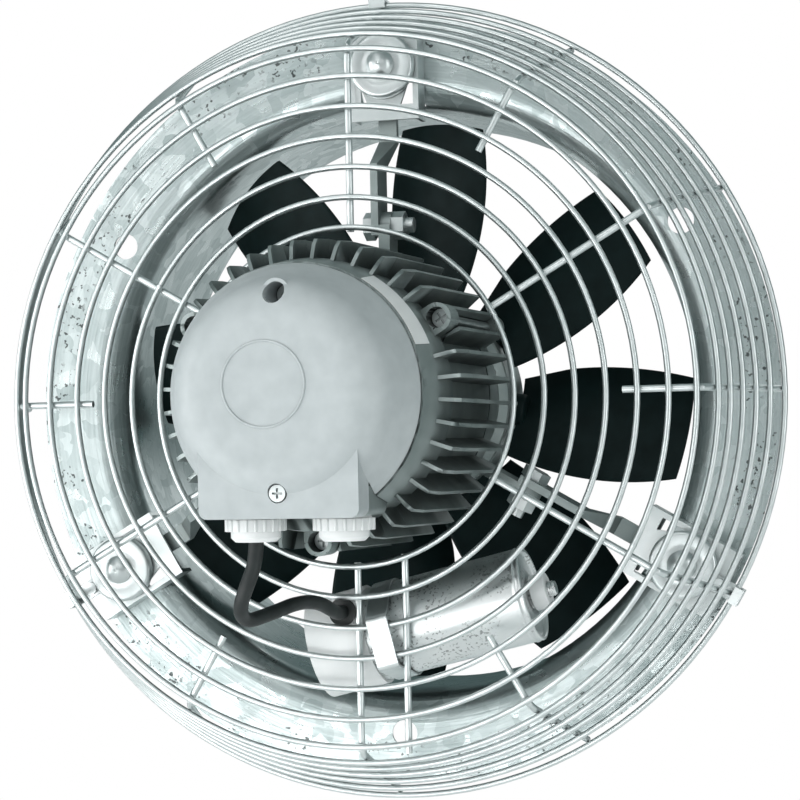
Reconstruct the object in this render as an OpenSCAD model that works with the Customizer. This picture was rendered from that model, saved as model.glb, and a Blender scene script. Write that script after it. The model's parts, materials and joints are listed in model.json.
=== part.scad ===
// Axial wall fan, nominal size 315, seen from its motor side.
// The fan axis runs along Y and the flange's back lies on the plane Y = 0, with the motor towards -Y.
// Each module is drawn lying down: x and y across the fan, z as the height above the wall.
// stand() then turns the drawing upright, so that its y becomes up and its z becomes -Y.

/* [Wall ring] */
// Inner radius of the nozzle
nozzle_r = 160; // [158:1:162]
// Depth of the nozzle behind the wall plane
nozzle_depth = 106; // [90:1:130]
// Outer radius of the bell mouth's curve
bell_r = 15; // [12:0.5:16]
// Width of the flange outside the bell mouth
flange_w = 31; // [30:0.5:35]
// Thickness of the spun sheet
sheet = 1.5; // [1.2:0.1:2]
// Diameter of a fixing hole
fixing_hole = 14; // [7:0.5:15]

/* [Guard] */
// Height of the face rings above the wall
guard_h = 97; // [90:1:105]
// Diameter of the ring wire
wire_d = 3; // [2.5:0.1:3.4]
// Diameter of the spoke wire
spoke_d = 3.5; // [3:0.1:4]
// Radius of the innermost ring
inner_ring_r = 85; // [83:1:88]
// Height of the foot ring
foot_ring_h = 24; // [23:0.5:30]
// Radius of the bend of a spoke
spoke_bend_r = 8; // [6:0.5:10]

/* [Struts] */
// Thickness of the bracket's sheet
bracket_t = 2; // [1.5:0.1:2.4]
// Width of the bracket's top
bracket_w = 38; // [37:1:44]
// Width of the strut arm
arm_w = 10; // [9:0.5:14]
// Thickness of the strut arm
arm_t = 4; // [3:0.5:5]
// Depth of the arm's inner end along the fan axis
arm_depth = 19; // [16:1:21]
// Diameter of the strut bolts
bolt_d = 8; // [6:0.5:8]
// Diameter of the damper's upper cushion
damper_d = 33; // [30:0.5:33]

/* [Motor] */
// Outer radius of the housing's tube
motor_r = 62; // [61:0.5:64]
// Wall of the housing's tube
motor_wall = 7; // [5:0.5:7]
// Height of a cooling fin above the tube
fin_h = 15; // [13:0.5:17]
// Number of cooling fins
fin_count = 40; // [24:8:40]
// Thickness of a cooling fin
fin_t = 1.8; // [1.6:0.1:2.6]
// Height where the motor starts
motor_h = 24; // [23:0.5:30]
// Length of the finned housing
housing_len = 91; // [85:1:100]
// Diameter of the shaft in the hub
shaft_d = 14; // [12:0.5:14]
// Length of the iron cores
core_len = 65; // [50:1:70]
// Gap between rotor and stator
air_gap = 0.5; // [0.4:0.05:1]

/* [Impeller] */
// Number of blades
blade_count = 8; // [5:1:8]
// Angle of the first blade's middle
first_blade = 38; // [0:1:44]
// Gap between blade tips and nozzle
tip_gap = 6; // [4:0.5:10]
// Height of the blades' middle, below the wall plane
blade_mid_h = -35.5; // [-45:0.5:-34]
// Height of a blade from its rear edge to its front edge
blade_rise = 35; // [20:1:40]
// Thickness of a blade
blade_t = 2.8; // [2:0.1:4]
// Radius of the hub
hub_r = 58; // [56:0.5:62]
// Height of one half of the hub
hub_half = 22; // [18:0.5:24]

/* [Terminal box] */
// Radius of the cover's rim
cover_r = 60.5; // [59:0.5:63]
// Height of the terminal box from its floor to the cover's face
box_depth = 51; // [48:0.5:54]
// Depth of the box base
base_depth = 17.5; // [16:0.5:20]
// Wall of the box
box_wall = 2.5; // [2:0.1:3]
// Width of the block that carries the glands
gland_block_w = 76; // [74:1:80]
// Distance of a gland from the middle
gland_x = 21.5; // [20:0.5:22]
// Diameter of a gland nut
gland_nut_d = 29; // [26:0.5:32]

/* [Capacitor] */
// Radius of the can
can_r = 24; // [22:0.5:24]
// Length of the can
can_len = 84; // [80:1:88]
// Width of the strap
strap_w = 11; // [8:0.5:12]
// Diameter of the lead to the capacitor
cable_d = 7; // [6:0.1:7]

/* [Hidden] */

// Small clearances
snug = 0.05;
loose = 0.2;
cut = 1;
smooth = 64;

// Colours
zinc = [0.68, 0.70, 0.70];
bright_zinc = [0.80, 0.82, 0.82];
cast = [0.52, 0.57, 0.56];
light_plastic = [0.80, 0.82, 0.83];
white_plastic = [0.93, 0.94, 0.94];
blade_black = [0.07, 0.12, 0.12];
rubber_black = [0.08, 0.09, 0.09];

// Directions in which parts repeat round the fan
strut_angles = [90, 210, 330];
fixing_angles = [30, 150, 270];
long_spoke_angles = [for (i = [0:5]) 30 + 60 * i];
short_spoke_angles = [for (i = [0:5]) 60 * i];
balls_per_bearing = 8;

// Wall ring
bell_end_r = nozzle_r + bell_r;
flange_r = bell_end_r + flange_w;
fixing_inset = 5;
fixing_r = bell_end_r + fixing_inset;

// Guard: the spokes touch the rings from behind on the face, and from inside down the side
side_ring_count = 6;
face_rings = 6;
outer_ring_step = 13.75;
outer_face_r = bell_end_r;
ring_pitch = (outer_face_r - outer_ring_step - inner_ring_r) / (face_rings - 1);
short_spoke_r = inner_ring_r + 3.5 * ring_pitch;
shoulder_r = outer_face_r + 9.2;
foot_ring_r = flange_r + 3.9;
shoulder_h = guard_h - 10;
wire_gap = snug;
spoke_offset = wire_d / 2 + spoke_d / 2 + wire_gap;
spoke_h = guard_h - spoke_offset;
side_run = [foot_ring_r - shoulder_r, foot_ring_h - shoulder_h];
side_dir = side_run / norm(side_run);
side_start = [shoulder_r, shoulder_h] + spoke_offset * [side_dir[1], -side_dir[0]];
corner_r = side_start[0] + (spoke_h - side_start[1]) * side_dir[0] / side_dir[1];
bend_turn = acos(side_dir[0]);
bend_tangent = spoke_bend_r * tan(bend_turn / 2);
spoke_foot_gap = 2.2;
side_step_start = 10.4;
side_step_growth = 0.44;
side_len = (spoke_h - foot_ring_h + spoke_foot_gap) / -side_dir[1];
long_spoke_r = inner_ring_r - 2;
upright_shift = 2.5;
side_bar_x = 27;
side_bar_end = outer_face_r + 3;

// Share of the way down the side at which ring k lies: the rings lie further apart towards the foot
function side_step_sum(k) = side_step_start * k + side_step_growth * k * k;
function side_share(k) = side_step_sum(k) / side_step_sum(side_ring_count - 1);

// Strut: the arm hangs below the bracket's top, with a rubber through the hole in that top
damper_r = bell_end_r + 4;
cushion_h = 4;
upper_cushion_h = 5;
lower_cushion_d = bracket_w - 2 * bracket_t - 4;
neck_d = 20;
cup_t = 1.5;
dome_nut_d = 15;
bolt_head = 13;
bolt_head_h = 4;
bolt_head_gap = 0.5;
bracket_h = sheet + bolt_head_gap + bolt_head_h + arm_t + cushion_h + bracket_t;
bracket_in_r = damper_r - 29;
window_in_r = damper_r - 21;
window_out_r = damper_r - 2;
floor_len = 14;
clip_w = 9;
clip_t = 1.5;
clip_screw_d = 4;
clip_screw_r = damper_r + damper_d / 2 + 4.7;
bracket_out_r = clip_screw_r + 2.8;
notch_w = bracket_w - 4;
arm_eye_d = 24;
arm_bend_r = damper_r - 41;
crossbar_in_r = damper_r - 26;
crossbar_len = 6;
crossbar_w = 31;
arm_hole_d = 2.6;
arm_holes = [[2.5, 5.3], [1.5, -1.5]];
lug_bolt_r = motor_r + 29.5;
arm_top_h = bracket_h - bracket_t - cushion_h;
arm_low_h = arm_top_h - arm_t;
upper_top_h = bracket_h + upper_cushion_h;
nut_seat_h = upper_top_h + cup_t;
arm_plate_h = 21;
arm_in_r = lug_bolt_r - 5.5;
arm_turned_r = arm_bend_r - 15;
lug_t = 6;
lug_bolt_h = arm_plate_h + arm_depth / 2;

// Motor heights, counted up from the wall
tube_bore_r = motor_r - motor_wall;
housing_h = motor_h + 26;
housing_top = housing_h + housing_len;
fin_r = motor_r + fin_h;
first_fin = 5.5;
fin_taper = 1.5;
fin_end_gap = 0.3;
rear_h = housing_top;
drum_r = cover_r + 4.5;
drum_top = rear_h + 19;
rear_top = rear_h + 24;
rib_top = rear_top + 0.5;
shield_wall = 4;
shoulder_len = 18;
chamfer_r = motor_r - 8;
spigot_len = 4;
drive_boss_len = 14;
boss_d = 14;
boss_r = motor_r + 8;
boss_clear_angle = 8;
rear_boss_len = 16;
rear_boss_h = rear_h - 5;
tie_d = 5;
tie_head_d = 9;
tie_head_h = 4;
tie_recess = 13;
tie_channel_r = tie_d / 2 + 0.5;
tie_head_seat = rear_boss_h + rear_boss_len - tie_recess;

// Bearings, 15 mm bore and 35 mm outer diameter
bearing_bore_r = 7.5;
bearing_out_r = 17.5;
bearing_w = 11;
ball_r = 3;
ball_path_r = 12.5;
groove_gap = 0.05;
front_bearing_h = motor_h + 4;
rear_bearing_h = rear_h + 2;
shaft_top = rear_bearing_h + bearing_w + 2;
shaft_mid_r = 10;
seat_wall = 5.5;

// Cores
core_h = housing_h + 10;
stator_bore_r = tube_bore_r - 22;
slot_count = 24;
slot_r = 2.6;
slot_ring_r = stator_bore_r + 6;
rotor_r = stator_bore_r - air_gap;
cage_ring_w = 14.5;
cage_ring_h = 7;
winding_len = 12;

// Impeller
tip_r = nozzle_r - tip_gap;
blade_root_r = hub_r + 2;
stub_r = 10;
collar_r = 13;
collar_in_r = hub_r - 20;
collar_len = 4;
split_h = blade_mid_h;
hub_front_h = split_h + hub_half;
hub_rear_h = split_h - hub_half;
hub_boss_r = 16;
hub_boss_top = motor_h - 9;
hub_bore_end = split_h - 17;
shaft_end = split_h - 15;
shaft_r = shaft_d / 2;
key_w = 5;
key_h = 5;

// Terminal box heights
box_h = rear_top;
seam_h = box_h + base_depth;
gasket_t = 1;
cover_h = seam_h + gasket_t;
face_h = box_h + box_depth;
lip_h = 2.5;
face_r = cover_r - 13.5;
face_round = 4;
block_step = 3;
block_corner_r = 4;
block_start_y = cover_r - 19.5;
rim_step = 0.5;
base_r = cover_r - rim_step;
gland_wall_y = cover_r - 3.5;
gland_h = box_h + 15;
gland_wall_top = gland_h + 15;
gland_thread_d = 20;
gland_flange_d = 26;
gland_flange_t = 1;
gland_nut_h = 5.5;
gland_dome_h = 5;
gland_bore_d = 15;
lock_nut = 24;
lock_nut_h = 4;
screw_dist = face_r - 1.5;
screw_seat_h = [cover_h + 7, face_h - 6];
screw_recess_d = [10.2, 9];
cover_screw_d = 4;
cover_head_h = 2.6;
post_r = 6;
base_floor = 3;
base_screw_r = 40;
wire_hole_y = 30;
wire_hole_r = 6;

// Terminal block inside the box
clamp_size = [44, 18, 14];
clamp_pitch = 8.4;
clamp_bore_r = 2.6;
clamp_bore_h = 7;

// The far endshield's cup round the box, tapering towards the cover
cup_gap = 0.5;
cup_wall = 1;
cup_end_r = base_r + cup_gap + cup_wall;
cup_top = cover_h - cup_gap;
function cup_r(h) = drum_r + (cup_end_r - drum_r) * (h - drum_top) / (cup_top - drum_top);
label_from_h = rib_top + 0.5;
label_to_h = label_from_h + 16;
label_t = 0.4;

// Capacitor, just behind the guard's spokes and leaning with them
can_angle = -76;
can_lean = 14;
can_dist = inner_ring_r + 2 * ring_pitch + 3.5;
cap_wall = 1.5;
cap_fit = 0.1;
can_h = spoke_h - spoke_d / 2 - 0.3 - (can_r + cap_fit + cap_wall);
can_mid_x = can_dist * cos(can_angle) + 2;
can_mid_y = can_dist * sin(can_angle) + 1;
cap_len = 30.5;
cap_floor = 2.5;
cap_overlap = 2;
can_start = -29;
terminal_head_r = 16;
terminal_head_len = 6;
can_rim = 0.4;
stud_len = 14;
inlet_along = -35.1;
inlet_side = 15.4;
inlet_x = can_mid_x + inlet_along * cos(can_lean) - inlet_side * sin(can_lean);
inlet_y = can_mid_y + inlet_along * sin(can_lean) + inlet_side * cos(can_lean);
inlet_r = 8;
inlet_top = spoke_h - spoke_d / 2 - 1.9;
inlet_wall = 2.5;
grommet_h = 6;
grommet_lip = 1.5;
strap_at = -16.5;
strap_t = 1.2;
strap_half = 11;
strap_shift = -4;
strap_corner_r = 2;

// The lead's route from the gland to the capacitor, as x, y and height from either end
lead_start = [-gland_x, -gland_wall_y, gland_h];
lead_end = [inlet_x, inlet_y, inlet_top];
cable_points = concat(
    [for (p = [[0, 3, 0], [0, -5, 0], [0, -13, 0], [-1, -23, 1.5], [-4, -32, 3], [-7.5, -40, 1],
        [-9.5, -46, -5]]) lead_start + p],
    [for (p = [[-23, 2, 77], [-19.5, 3, 68], [-15, 5, 58], [-11, 7, 47], [-7, 7.5, 36], [-3.5, 6, 27],
        [-1, 3, 19], [0, 0.5, 11], [0, 0, 4], [0, 0, -4]]) lead_end + p]);
cable_sides = 10;

module stand() {
    rotate([90, 0, 0]) children();
}

module around(angles) {
    for (a = angles) rotate([0, 0, a]) children();
}

// A tube from one height to another
module tube(outer_r, inner_r, from_h, to_h) {
    translate([0, 0, from_h]) difference() {
        cylinder(r = outer_r, h = to_h - from_h, $fn = smooth);
        translate([0, 0, -cut]) cylinder(r = inner_r, h = to_h - from_h + 2 * cut, $fn = smooth);
    }
}

// A round rod from one height to another
module rod(radius, from_h, to_h) {
    translate([0, 0, from_h]) cylinder(r = radius, h = to_h - from_h, $fn = smooth);
}

// A six-sided nut or bolt head across its flats, with an optional bore
module hexagon(flats, from_h, to_h, bore = 0) {
    translate([0, 0, from_h]) difference() {
        cylinder(d = flats / cos(30), h = to_h - from_h, $fn = 6);
        if (bore > 0) translate([0, 0, -cut]) cylinder(d = bore, h = to_h - from_h + 2 * cut, $fn = smooth);
    }
}

// The spun sheet ring: flange, bell mouth and nozzle in one
module wall_ring() {
    color(zinc) stand() difference() {
        rotate_extrude($fn = 180) {
            translate([bell_end_r, 0]) square([flange_r - bell_end_r, sheet]);
            translate([bell_end_r, sheet - bell_r]) intersection() {
                difference() {
                    circle(r = bell_r, $fn = 96);
                    circle(r = bell_r - sheet, $fn = 96);
                }
                translate([-bell_r, 0]) square(bell_r);
            }
            translate([nozzle_r, -nozzle_depth]) square([sheet, nozzle_depth + sheet - bell_r]);
        }
        around(fixing_angles) translate([fixing_r, 0, 0]) rod(fixing_hole / 2, -cut, sheet + cut);
        around(strut_angles) translate([nozzle_r - cut, -notch_w / 2, sheet - bell_r])
            cube([bell_end_r + 2 * cut - nozzle_r, notch_w, bell_r + cut]);
    }
}

// One wire ring of the guard
module wire_ring(r, h) {
    translate([0, 0, h]) rotate_extrude($fn = 180) translate([r, 0]) circle(d = wire_d, $fn = 24);
}

// The rings across the guard's face
module guard_face_rings() {
    color(bright_zinc) stand() {
        for (i = [0:face_rings - 1]) wire_ring(inner_ring_r + i * ring_pitch, guard_h);
        wire_ring(outer_face_r, guard_h);
    }
}

// The rings down the guard's side
module guard_side_rings() {
    color(bright_zinc) stand() for (k = [0:side_ring_count - 1])
        wire_ring(shoulder_r + side_run[0] * side_share(k), shoulder_h + side_run[1] * side_share(k));
}

// A bent wire: rods from point to point, with a ball at each bend
module bent_wire(points, diameter) {
    for (i = [0:len(points) - 2]) {
        run = points[i + 1] - points[i];
        translate([points[i][0], 0, points[i][1]]) rotate([0, atan2(run[0], run[1]), 0])
            cylinder(d = diameter, h = norm(run), $fn = 24);
        if (i > 0) translate([points[i][0], 0, points[i][1]]) sphere(d = diameter + snug, $fn = 24);
    }
}

// A spoke: straight behind the face, bent over the shoulder, straight down the side
module spoke(start_r) {
    bend_centre = [corner_r - bend_tangent, spoke_h - spoke_bend_r];
    bend = [for (a = [90, 90 - bend_turn / 2, 90 - bend_turn])
        bend_centre + spoke_bend_r * [cos(a), sin(a)]];
    foot = [corner_r, spoke_h] + side_len * side_dir;
    bent_wire(concat([[start_r, spoke_h]], bend, [foot]), spoke_d);
}

// All spokes, and the straight bar that the capacitor's strap lies next to
module guard_spokes() {
    color(bright_zinc) stand() {
        for (a = long_spoke_angles) rotate([0, 0, a])
            translate([0, a % 180 == 90 ? -upright_shift * sin(a) : 0, 0]) spoke(long_spoke_r);
        around(short_spoke_angles) spoke(short_spoke_r);
        translate([side_bar_x, -side_bar_end, spoke_h]) rotate([-90, 0, 0])
            cylinder(d = spoke_d, h = side_bar_end - inner_ring_r + 6, $fn = 24);
    }
}

// Sheet hooks that hold the foot ring to the brackets
module guard_clips() {
    clip_in_r = damper_r + damper_d / 2 + 0.8;
    clip_out_r = foot_ring_r + wire_d / 2 + 0.6;
    lip_h = foot_ring_h + wire_d / 2 + 0.3;
    color(bright_zinc) stand() around(strut_angles) difference() {
        rotate([90, 0, 0]) linear_extrude(clip_w, center = true) polygon([
            [clip_in_r, bracket_h], [clip_out_r + clip_t, bracket_h],
            [clip_out_r + clip_t, lip_h + clip_t], [foot_ring_r - wire_d / 2, lip_h + clip_t],
            [foot_ring_r - wire_d / 2, lip_h], [clip_out_r, lip_h],
            [clip_out_r, bracket_h + clip_t], [clip_in_r, bracket_h + clip_t]]);
        translate([clip_screw_r, 0, 0])
            rod(clip_screw_d / 2 + loose, bracket_h - cut, bracket_h + clip_t + cut);
    }
}

module clip_screws() {
    color(bright_zinc) stand() around(strut_angles) translate([clip_screw_r, 0, 0]) {
        rod(clip_screw_d / 2, bracket_h - bracket_t - 4, bracket_h + clip_t);
        rod(clip_screw_d * 0.85, bracket_h + clip_t, bracket_h + clip_t + 2.4);
    }
}

// A sheet bracket shaped like a box that is open towards the fan axis, with a floor at its outer end
module strut_brackets() {
    length = bracket_out_r - bracket_in_r;
    rail = bracket_w / 2 - 3;
    inner_rail = arm_w / 2 + 4;
    color(bright_zinc) stand() around(strut_angles) difference() {
        union() {
            translate([bracket_in_r, -bracket_w / 2, bracket_h - bracket_t])
                cube([length, bracket_w, bracket_t]);
            for (side = [-1, 1])
                translate([bracket_in_r, side * (bracket_w - bracket_t) / 2 - bracket_t / 2, sheet])
                    cube([length, bracket_t, bracket_h - sheet]);
            translate([bracket_out_r - floor_len, -bracket_w / 2, sheet])
                cube([floor_len, bracket_w, bracket_t]);
        }
        translate([damper_r, 0, 0]) rod(neck_d / 2 + loose, bracket_h - bracket_t - cut, bracket_h + cut);
        translate([clip_screw_r, 0, 0])
            rod(clip_screw_d / 2 + loose, bracket_h - bracket_t - cut, bracket_h + cut);
        for (side = [-1, 1]) translate([0, 0, bracket_h - bracket_t - cut])
            linear_extrude(bracket_t + 2 * cut)
            polygon([[window_in_r, side * rail], [window_out_r, side * rail],
                [window_in_r, side * inner_rail]]);
    }
}

// Rubber buffers: a cushion below and above the bracket's top, joined by a neck through its hole
module damper_rubbers() {
    color(rubber_black) stand() around(strut_angles) translate([damper_r, 0, 0]) difference() {
        union() {
            rod(lower_cushion_d / 2, arm_top_h, bracket_h - bracket_t);
            rod(neck_d / 2, bracket_h - bracket_t, bracket_h);
            rod(damper_d / 2, bracket_h, upper_top_h);
        }
        rod(bolt_d / 2 + loose, arm_top_h - cut, upper_top_h + cut);
    }
}

// Cup washers over the upper cushions
module damper_cups() {
    color(bright_zinc) stand() around(strut_angles) translate([damper_r, 0, 0])
        tube(damper_d / 2 - 1, bolt_d / 2 + loose, upper_top_h, nut_seat_h);
}

module damper_bolts() {
    color(bright_zinc) stand() around(strut_angles) translate([damper_r, 0, 0]) {
        hexagon(bolt_head, arm_low_h - bolt_head_h, arm_low_h);
        rod(bolt_d / 2, arm_low_h, nut_seat_h + 4);
    }
}

module damper_nuts() {
    color(bright_zinc) stand() around(strut_angles) translate([damper_r, 0, 0]) difference() {
        intersection() {
            rod(dome_nut_d / 2, nut_seat_h, nut_seat_h + 6);
            translate([0, 0, nut_seat_h - 4]) sphere(r = 10, $fn = smooth);
        }
        rod(bolt_d / 2 + snug, nut_seat_h - cut, nut_seat_h + 4.1);
    }
}

// Flat bars that turn on edge on their way to the motor
module strut_arms() {
    color(cast) stand() around(strut_angles) difference() {
        union() {
            translate([damper_r, 0, 0]) rod(arm_eye_d / 2, arm_low_h, arm_top_h);
            translate([arm_bend_r, -arm_w / 2, arm_low_h]) cube([damper_r - arm_bend_r, arm_w, arm_t]);
            hull() {
                translate([arm_bend_r, -arm_w / 2, arm_low_h]) cube([1, arm_w, arm_t]);
                translate([arm_turned_r, -arm_t / 2, arm_plate_h]) cube([1, arm_t, arm_depth]);
            }
            translate([arm_in_r, -arm_t / 2, arm_plate_h])
                cube([arm_turned_r - arm_in_r + 1, arm_t, arm_depth]);
            translate([crossbar_in_r, -crossbar_w / 2, arm_low_h]) cube([crossbar_len, crossbar_w, arm_t]);
        }
        for (place = arm_holes) translate([crossbar_in_r + place[0], place[1], 0])
            rod(arm_hole_d / 2, arm_low_h - cut, arm_top_h + cut);
        translate([damper_r, 0, 0]) rod(bolt_d / 2 + loose, arm_low_h - cut, arm_top_h + cut);
        across(lug_bolt_r, lug_bolt_h) rod(bolt_d / 2 + loose, -arm_t, arm_t);
    }
}

// A place at radius r and height h, with its z axis turned clockwise round the fan
module across(r, h) {
    translate([r, 0, h]) rotate([90, 0, 0]) children();
}

module lug_bolts() {
    color(bright_zinc) stand() around(strut_angles) across(lug_bolt_r, lug_bolt_h) {
        hexagon(bolt_head, -arm_t / 2 - 5.3, -arm_t / 2);
        rod(bolt_d / 2, -arm_t / 2, arm_t / 2 + lug_t + 11);
    }
}

module lug_nuts() {
    color(bright_zinc) stand() around(strut_angles) across(lug_bolt_r, lug_bolt_h)
        hexagon(bolt_head, arm_t / 2 + lug_t, arm_t / 2 + lug_t + 6.5, bolt_d + 2 * snug);
}

// Directions of the cooling fins
function fin_angle(i) = first_fin + i * 360 / fin_count;

// One fin or rib, standing on edge in the direction a, with its outline given as radius and height
module fin(a, outline) {
    rotate([0, 0, a]) rotate([90, 0, 0]) linear_extrude(fin_t, center = true) polygon(outline);
}

// The cut of a cross-head screwdriver, from a height upwards
module cross_slot(length, width, from_h) {
    for (turn = [0, 90]) rotate([0, 0, turn]) translate([-length / 2, -width / 2, from_h])
        cube([length, width, 4]);
}

// How far the direction a lies from the nearest tie boss, in degrees
function boss_distance(a) = min([for (b = fixing_angles) abs((a - b + 540) % 360 - 180)]);

// Cast aluminium tube with cooling fins; a fin that would stand in a tie screw's channel is left out
module motor_housing() {
    channel_angle = (tie_channel_r + 0.5 - fin_t / 2) / boss_r * 180 / PI;
    color(cast) stand() difference() {
        union() {
            tube(motor_r, tube_bore_r, housing_h, housing_top);
            for (i = [0:fin_count - 1]) if (boss_distance(fin_angle(i)) > channel_angle)
                fin(fin_angle(i), [
                    [motor_r - 1, housing_h + fin_end_gap], [fin_r, housing_h + fin_end_gap],
                    [fin_r - fin_taper, housing_top - fin_end_gap],
                    [motor_r - 1, housing_top - fin_end_gap]]);
        }
        around(fixing_angles) translate([boss_r, 0, 0]) {
            rod(tie_channel_r, housing_h - cut, housing_top + cut);
            rod(boss_d / 2 + 0.6, rear_boss_h - 0.4, housing_top + cut);
        }
    }
}

// Far endshield: a drum with ribs in line with the fins, the rear bearing's seat, three ears for the
// tie screws, and a cup round the terminal box that is open where the glands are
module rear_endshield() {
    block_gap_w = gland_block_w + 2 * cup_gap;
    color(cast) stand() difference() {
        union() {
            rotate_extrude($fn = smooth * 2) polygon([
                [tube_bore_r - 3, rear_h - 4], [tube_bore_r - snug, rear_h - 4],
                [tube_bore_r - snug, rear_h], [drum_r, rear_h], [drum_r, drum_top],
                [cup_end_r, cup_top], [cup_end_r - cup_wall, cup_top],
                [cup_end_r - cup_wall, rear_top], [0, rear_top],
                [0, rear_top - shield_wall], [tube_bore_r - 3, rear_top - shield_wall]]);
            for (i = [0:fin_count - 1]) if (boss_distance(fin_angle(i)) > boss_clear_angle)
                fin(fin_angle(i), [
                    [drum_r - 2, rear_h], [fin_r - fin_taper, rear_h], [fin_r - 3, drum_top],
                    [fin_r - 6, drum_top + 3], [drum_r - 0.5, rib_top], [drum_r - 2, rib_top]]);
            tube(bearing_out_r + seat_wall, bearing_out_r + snug, rear_bearing_h, rear_top - 1);
            around(fixing_angles) {
                translate([boss_r, 0, 0]) rod(boss_d / 2, rear_boss_h, rear_boss_h + rear_boss_len);
                translate([motor_r, -boss_d / 2, rear_h])
                    cube([boss_r - motor_r, boss_d, rear_boss_len + rear_boss_h - rear_h]);
            }
        }
        around(fixing_angles) translate([boss_r, 0, 0]) {
            rod(tie_d / 2 + loose, rear_boss_h - cut, tie_head_seat + cut);
            rod(tie_head_d / 2 + 0.5, tie_head_seat, rear_boss_h + rear_boss_len + cut);
        }
        translate([-block_gap_w / 2, -2 * cover_r, rear_top])
            cube([block_gap_w, 2 * cover_r - block_start_y, cup_top]);
        at_base_screws() rod(2, rear_top - shield_wall - cut, rear_top + cut);
        translate([0, wire_hole_y, 0]) rod(wire_hole_r, rear_top - shield_wall - cut, rear_top + cut);
    }
}

// Near endshield: the drive bearing's seat, three tie bosses and three lugs for the strut arms
module drive_endshield() {
    bore_h = front_bearing_h - 0.5;
    rim_r = motor_r + 0.5;
    lug_end_r = lug_bolt_r + 7.5;
    color(cast) stand() difference() {
        union() {
            rotate_extrude($fn = smooth * 2) polygon([
                [0, motor_h], [chamfer_r, motor_h], [rim_r, housing_h - shoulder_len],
                [rim_r, housing_h], [tube_bore_r - snug, housing_h],
                [tube_bore_r - snug, housing_h + spigot_len], [tube_bore_r - 3, housing_h + spigot_len],
                [tube_bore_r - 3, motor_h + 8], [tube_bore_r - 6, motor_h + shield_wall],
                [0, motor_h + shield_wall]]);
            rod(bearing_out_r + seat_wall, motor_h + 1, front_bearing_h + bearing_w);
            around(fixing_angles) {
                translate([boss_r, 0, 0]) rod(boss_d / 2, housing_h - drive_boss_len, housing_h);
                translate([motor_r - 3, -boss_d / 2, housing_h - drive_boss_len])
                    cube([boss_r - motor_r + 3, boss_d, drive_boss_len]);
            }
            around(strut_angles) translate([0, -arm_t / 2 - lug_t, arm_plate_h]) {
                translate([tube_bore_r - 2, 0, 3])
                    cube([lug_bolt_r - tube_bore_r + 2, lug_t, arm_depth - 3]);
                translate([lug_bolt_r, lug_t, lug_bolt_h - arm_plate_h]) rotate([90, 0, 0])
                    cylinder(r = lug_end_r - lug_bolt_r, h = lug_t, $fn = smooth);
            }
        }
        rod(shaft_mid_r, motor_h - cut, bore_h + cut);
        around(fixing_angles) translate([boss_r, 0, 0])
            rod(tie_d / 2 + snug, housing_h - 12, housing_h + cut);
        around(strut_angles) across(lug_bolt_r, lug_bolt_h)
            rod(bolt_d / 2 + loose, 0, arm_t / 2 + lug_t + cut);
        rod(bearing_out_r + snug, bore_h, housing_h + cut);
    }
}

module tie_screws() {
    color(bright_zinc) stand() around(fixing_angles) translate([boss_r, 0, 0]) {
        rod(tie_d / 2, housing_h - 11, tie_head_seat);
        difference() {
            rod(tie_head_d / 2, tie_head_seat, tie_head_seat + tie_head_h);
            cross_slot(6, 1.2, tie_head_seat + tie_head_h / 2);
        }
    }
}

module at_slots() {
    for (i = [0:slot_count - 1]) rotate([0, 0, i * 360 / slot_count]) translate([slot_ring_r, 0, 0])
        children();
}

module stator_core() {
    color(cast) stand() difference() {
        tube(tube_bore_r - snug, stator_bore_r, core_h, core_h + core_len);
        at_slots() rod(slot_r, core_h - cut, core_h + core_len + cut);
    }
}

// The copper heads on both ends of the stator, with the bars in its slots
module stator_winding() {
    color("peru") stand() {
        tube(tube_bore_r - 4, stator_bore_r + 3, core_h - winding_len, core_h);
        tube(tube_bore_r - 4, stator_bore_r + 3, core_h + core_len, core_h + core_len + winding_len);
        at_slots() rod(slot_r - loose, core_h - 1, core_h + core_len + 1);
    }
}

module shaft() {
    color(bright_zinc) stand() difference() {
        union() {
            rod(shaft_r, shaft_end, motor_h);
            rod(bearing_bore_r - snug, motor_h, front_bearing_h + bearing_w);
            rod(shaft_mid_r, front_bearing_h + bearing_w, rear_bearing_h);
            rod(bearing_bore_r - snug, rear_bearing_h, shaft_top);
        }
        tube(shaft_mid_r, bearing_bore_r - 0.8, front_bearing_h - 1.2, front_bearing_h - snug);
        translate([-key_w / 2 - snug, shaft_r - key_h / 2, hub_bore_end + 4])
            cube([key_w + 2 * snug, key_h, 20 + 2 * snug]);
        rod(3, shaft_end - cut, shaft_end + 18);
    }
}

module rotor_core() {
    color(cast) stand() tube(rotor_r, shaft_mid_r + snug, core_h, core_h + core_len);
}

// The cast rings that close the rotor's cage, with small stirring blades
module rotor_cage() {
    color("lightsteelblue") stand() {
        for (h = [core_h - cage_ring_h, core_h + core_len])
            tube(rotor_r - 3, rotor_r - cage_ring_w, h, h + cage_ring_h);
    }
}

// Draws its children at both bearings' middles
module at_bearings() {
    for (h = [front_bearing_h, rear_bearing_h]) translate([0, 0, h + bearing_w / 2]) children();
}

// The groove that the balls roll in
module ball_groove() {
    rotate_extrude($fn = smooth) translate([ball_path_r, 0]) circle(r = ball_r + groove_gap, $fn = 32);
}

module bearing_outer_rings() {
    color(bright_zinc) stand() at_bearings() difference() {
        tube(bearing_out_r, ball_path_r + 1.9, -bearing_w / 2, bearing_w / 2);
        ball_groove();
    }
}

module bearing_inner_rings() {
    color(bright_zinc) stand() at_bearings() difference() {
        tube(ball_path_r - 1.9, bearing_bore_r, -bearing_w / 2, bearing_w / 2);
        ball_groove();
    }
}

module at_balls() {
    for (i = [0:balls_per_bearing - 1]) rotate([0, 0, i * 360 / balls_per_bearing])
        translate([ball_path_r, 0, 0]) children();
}

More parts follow.
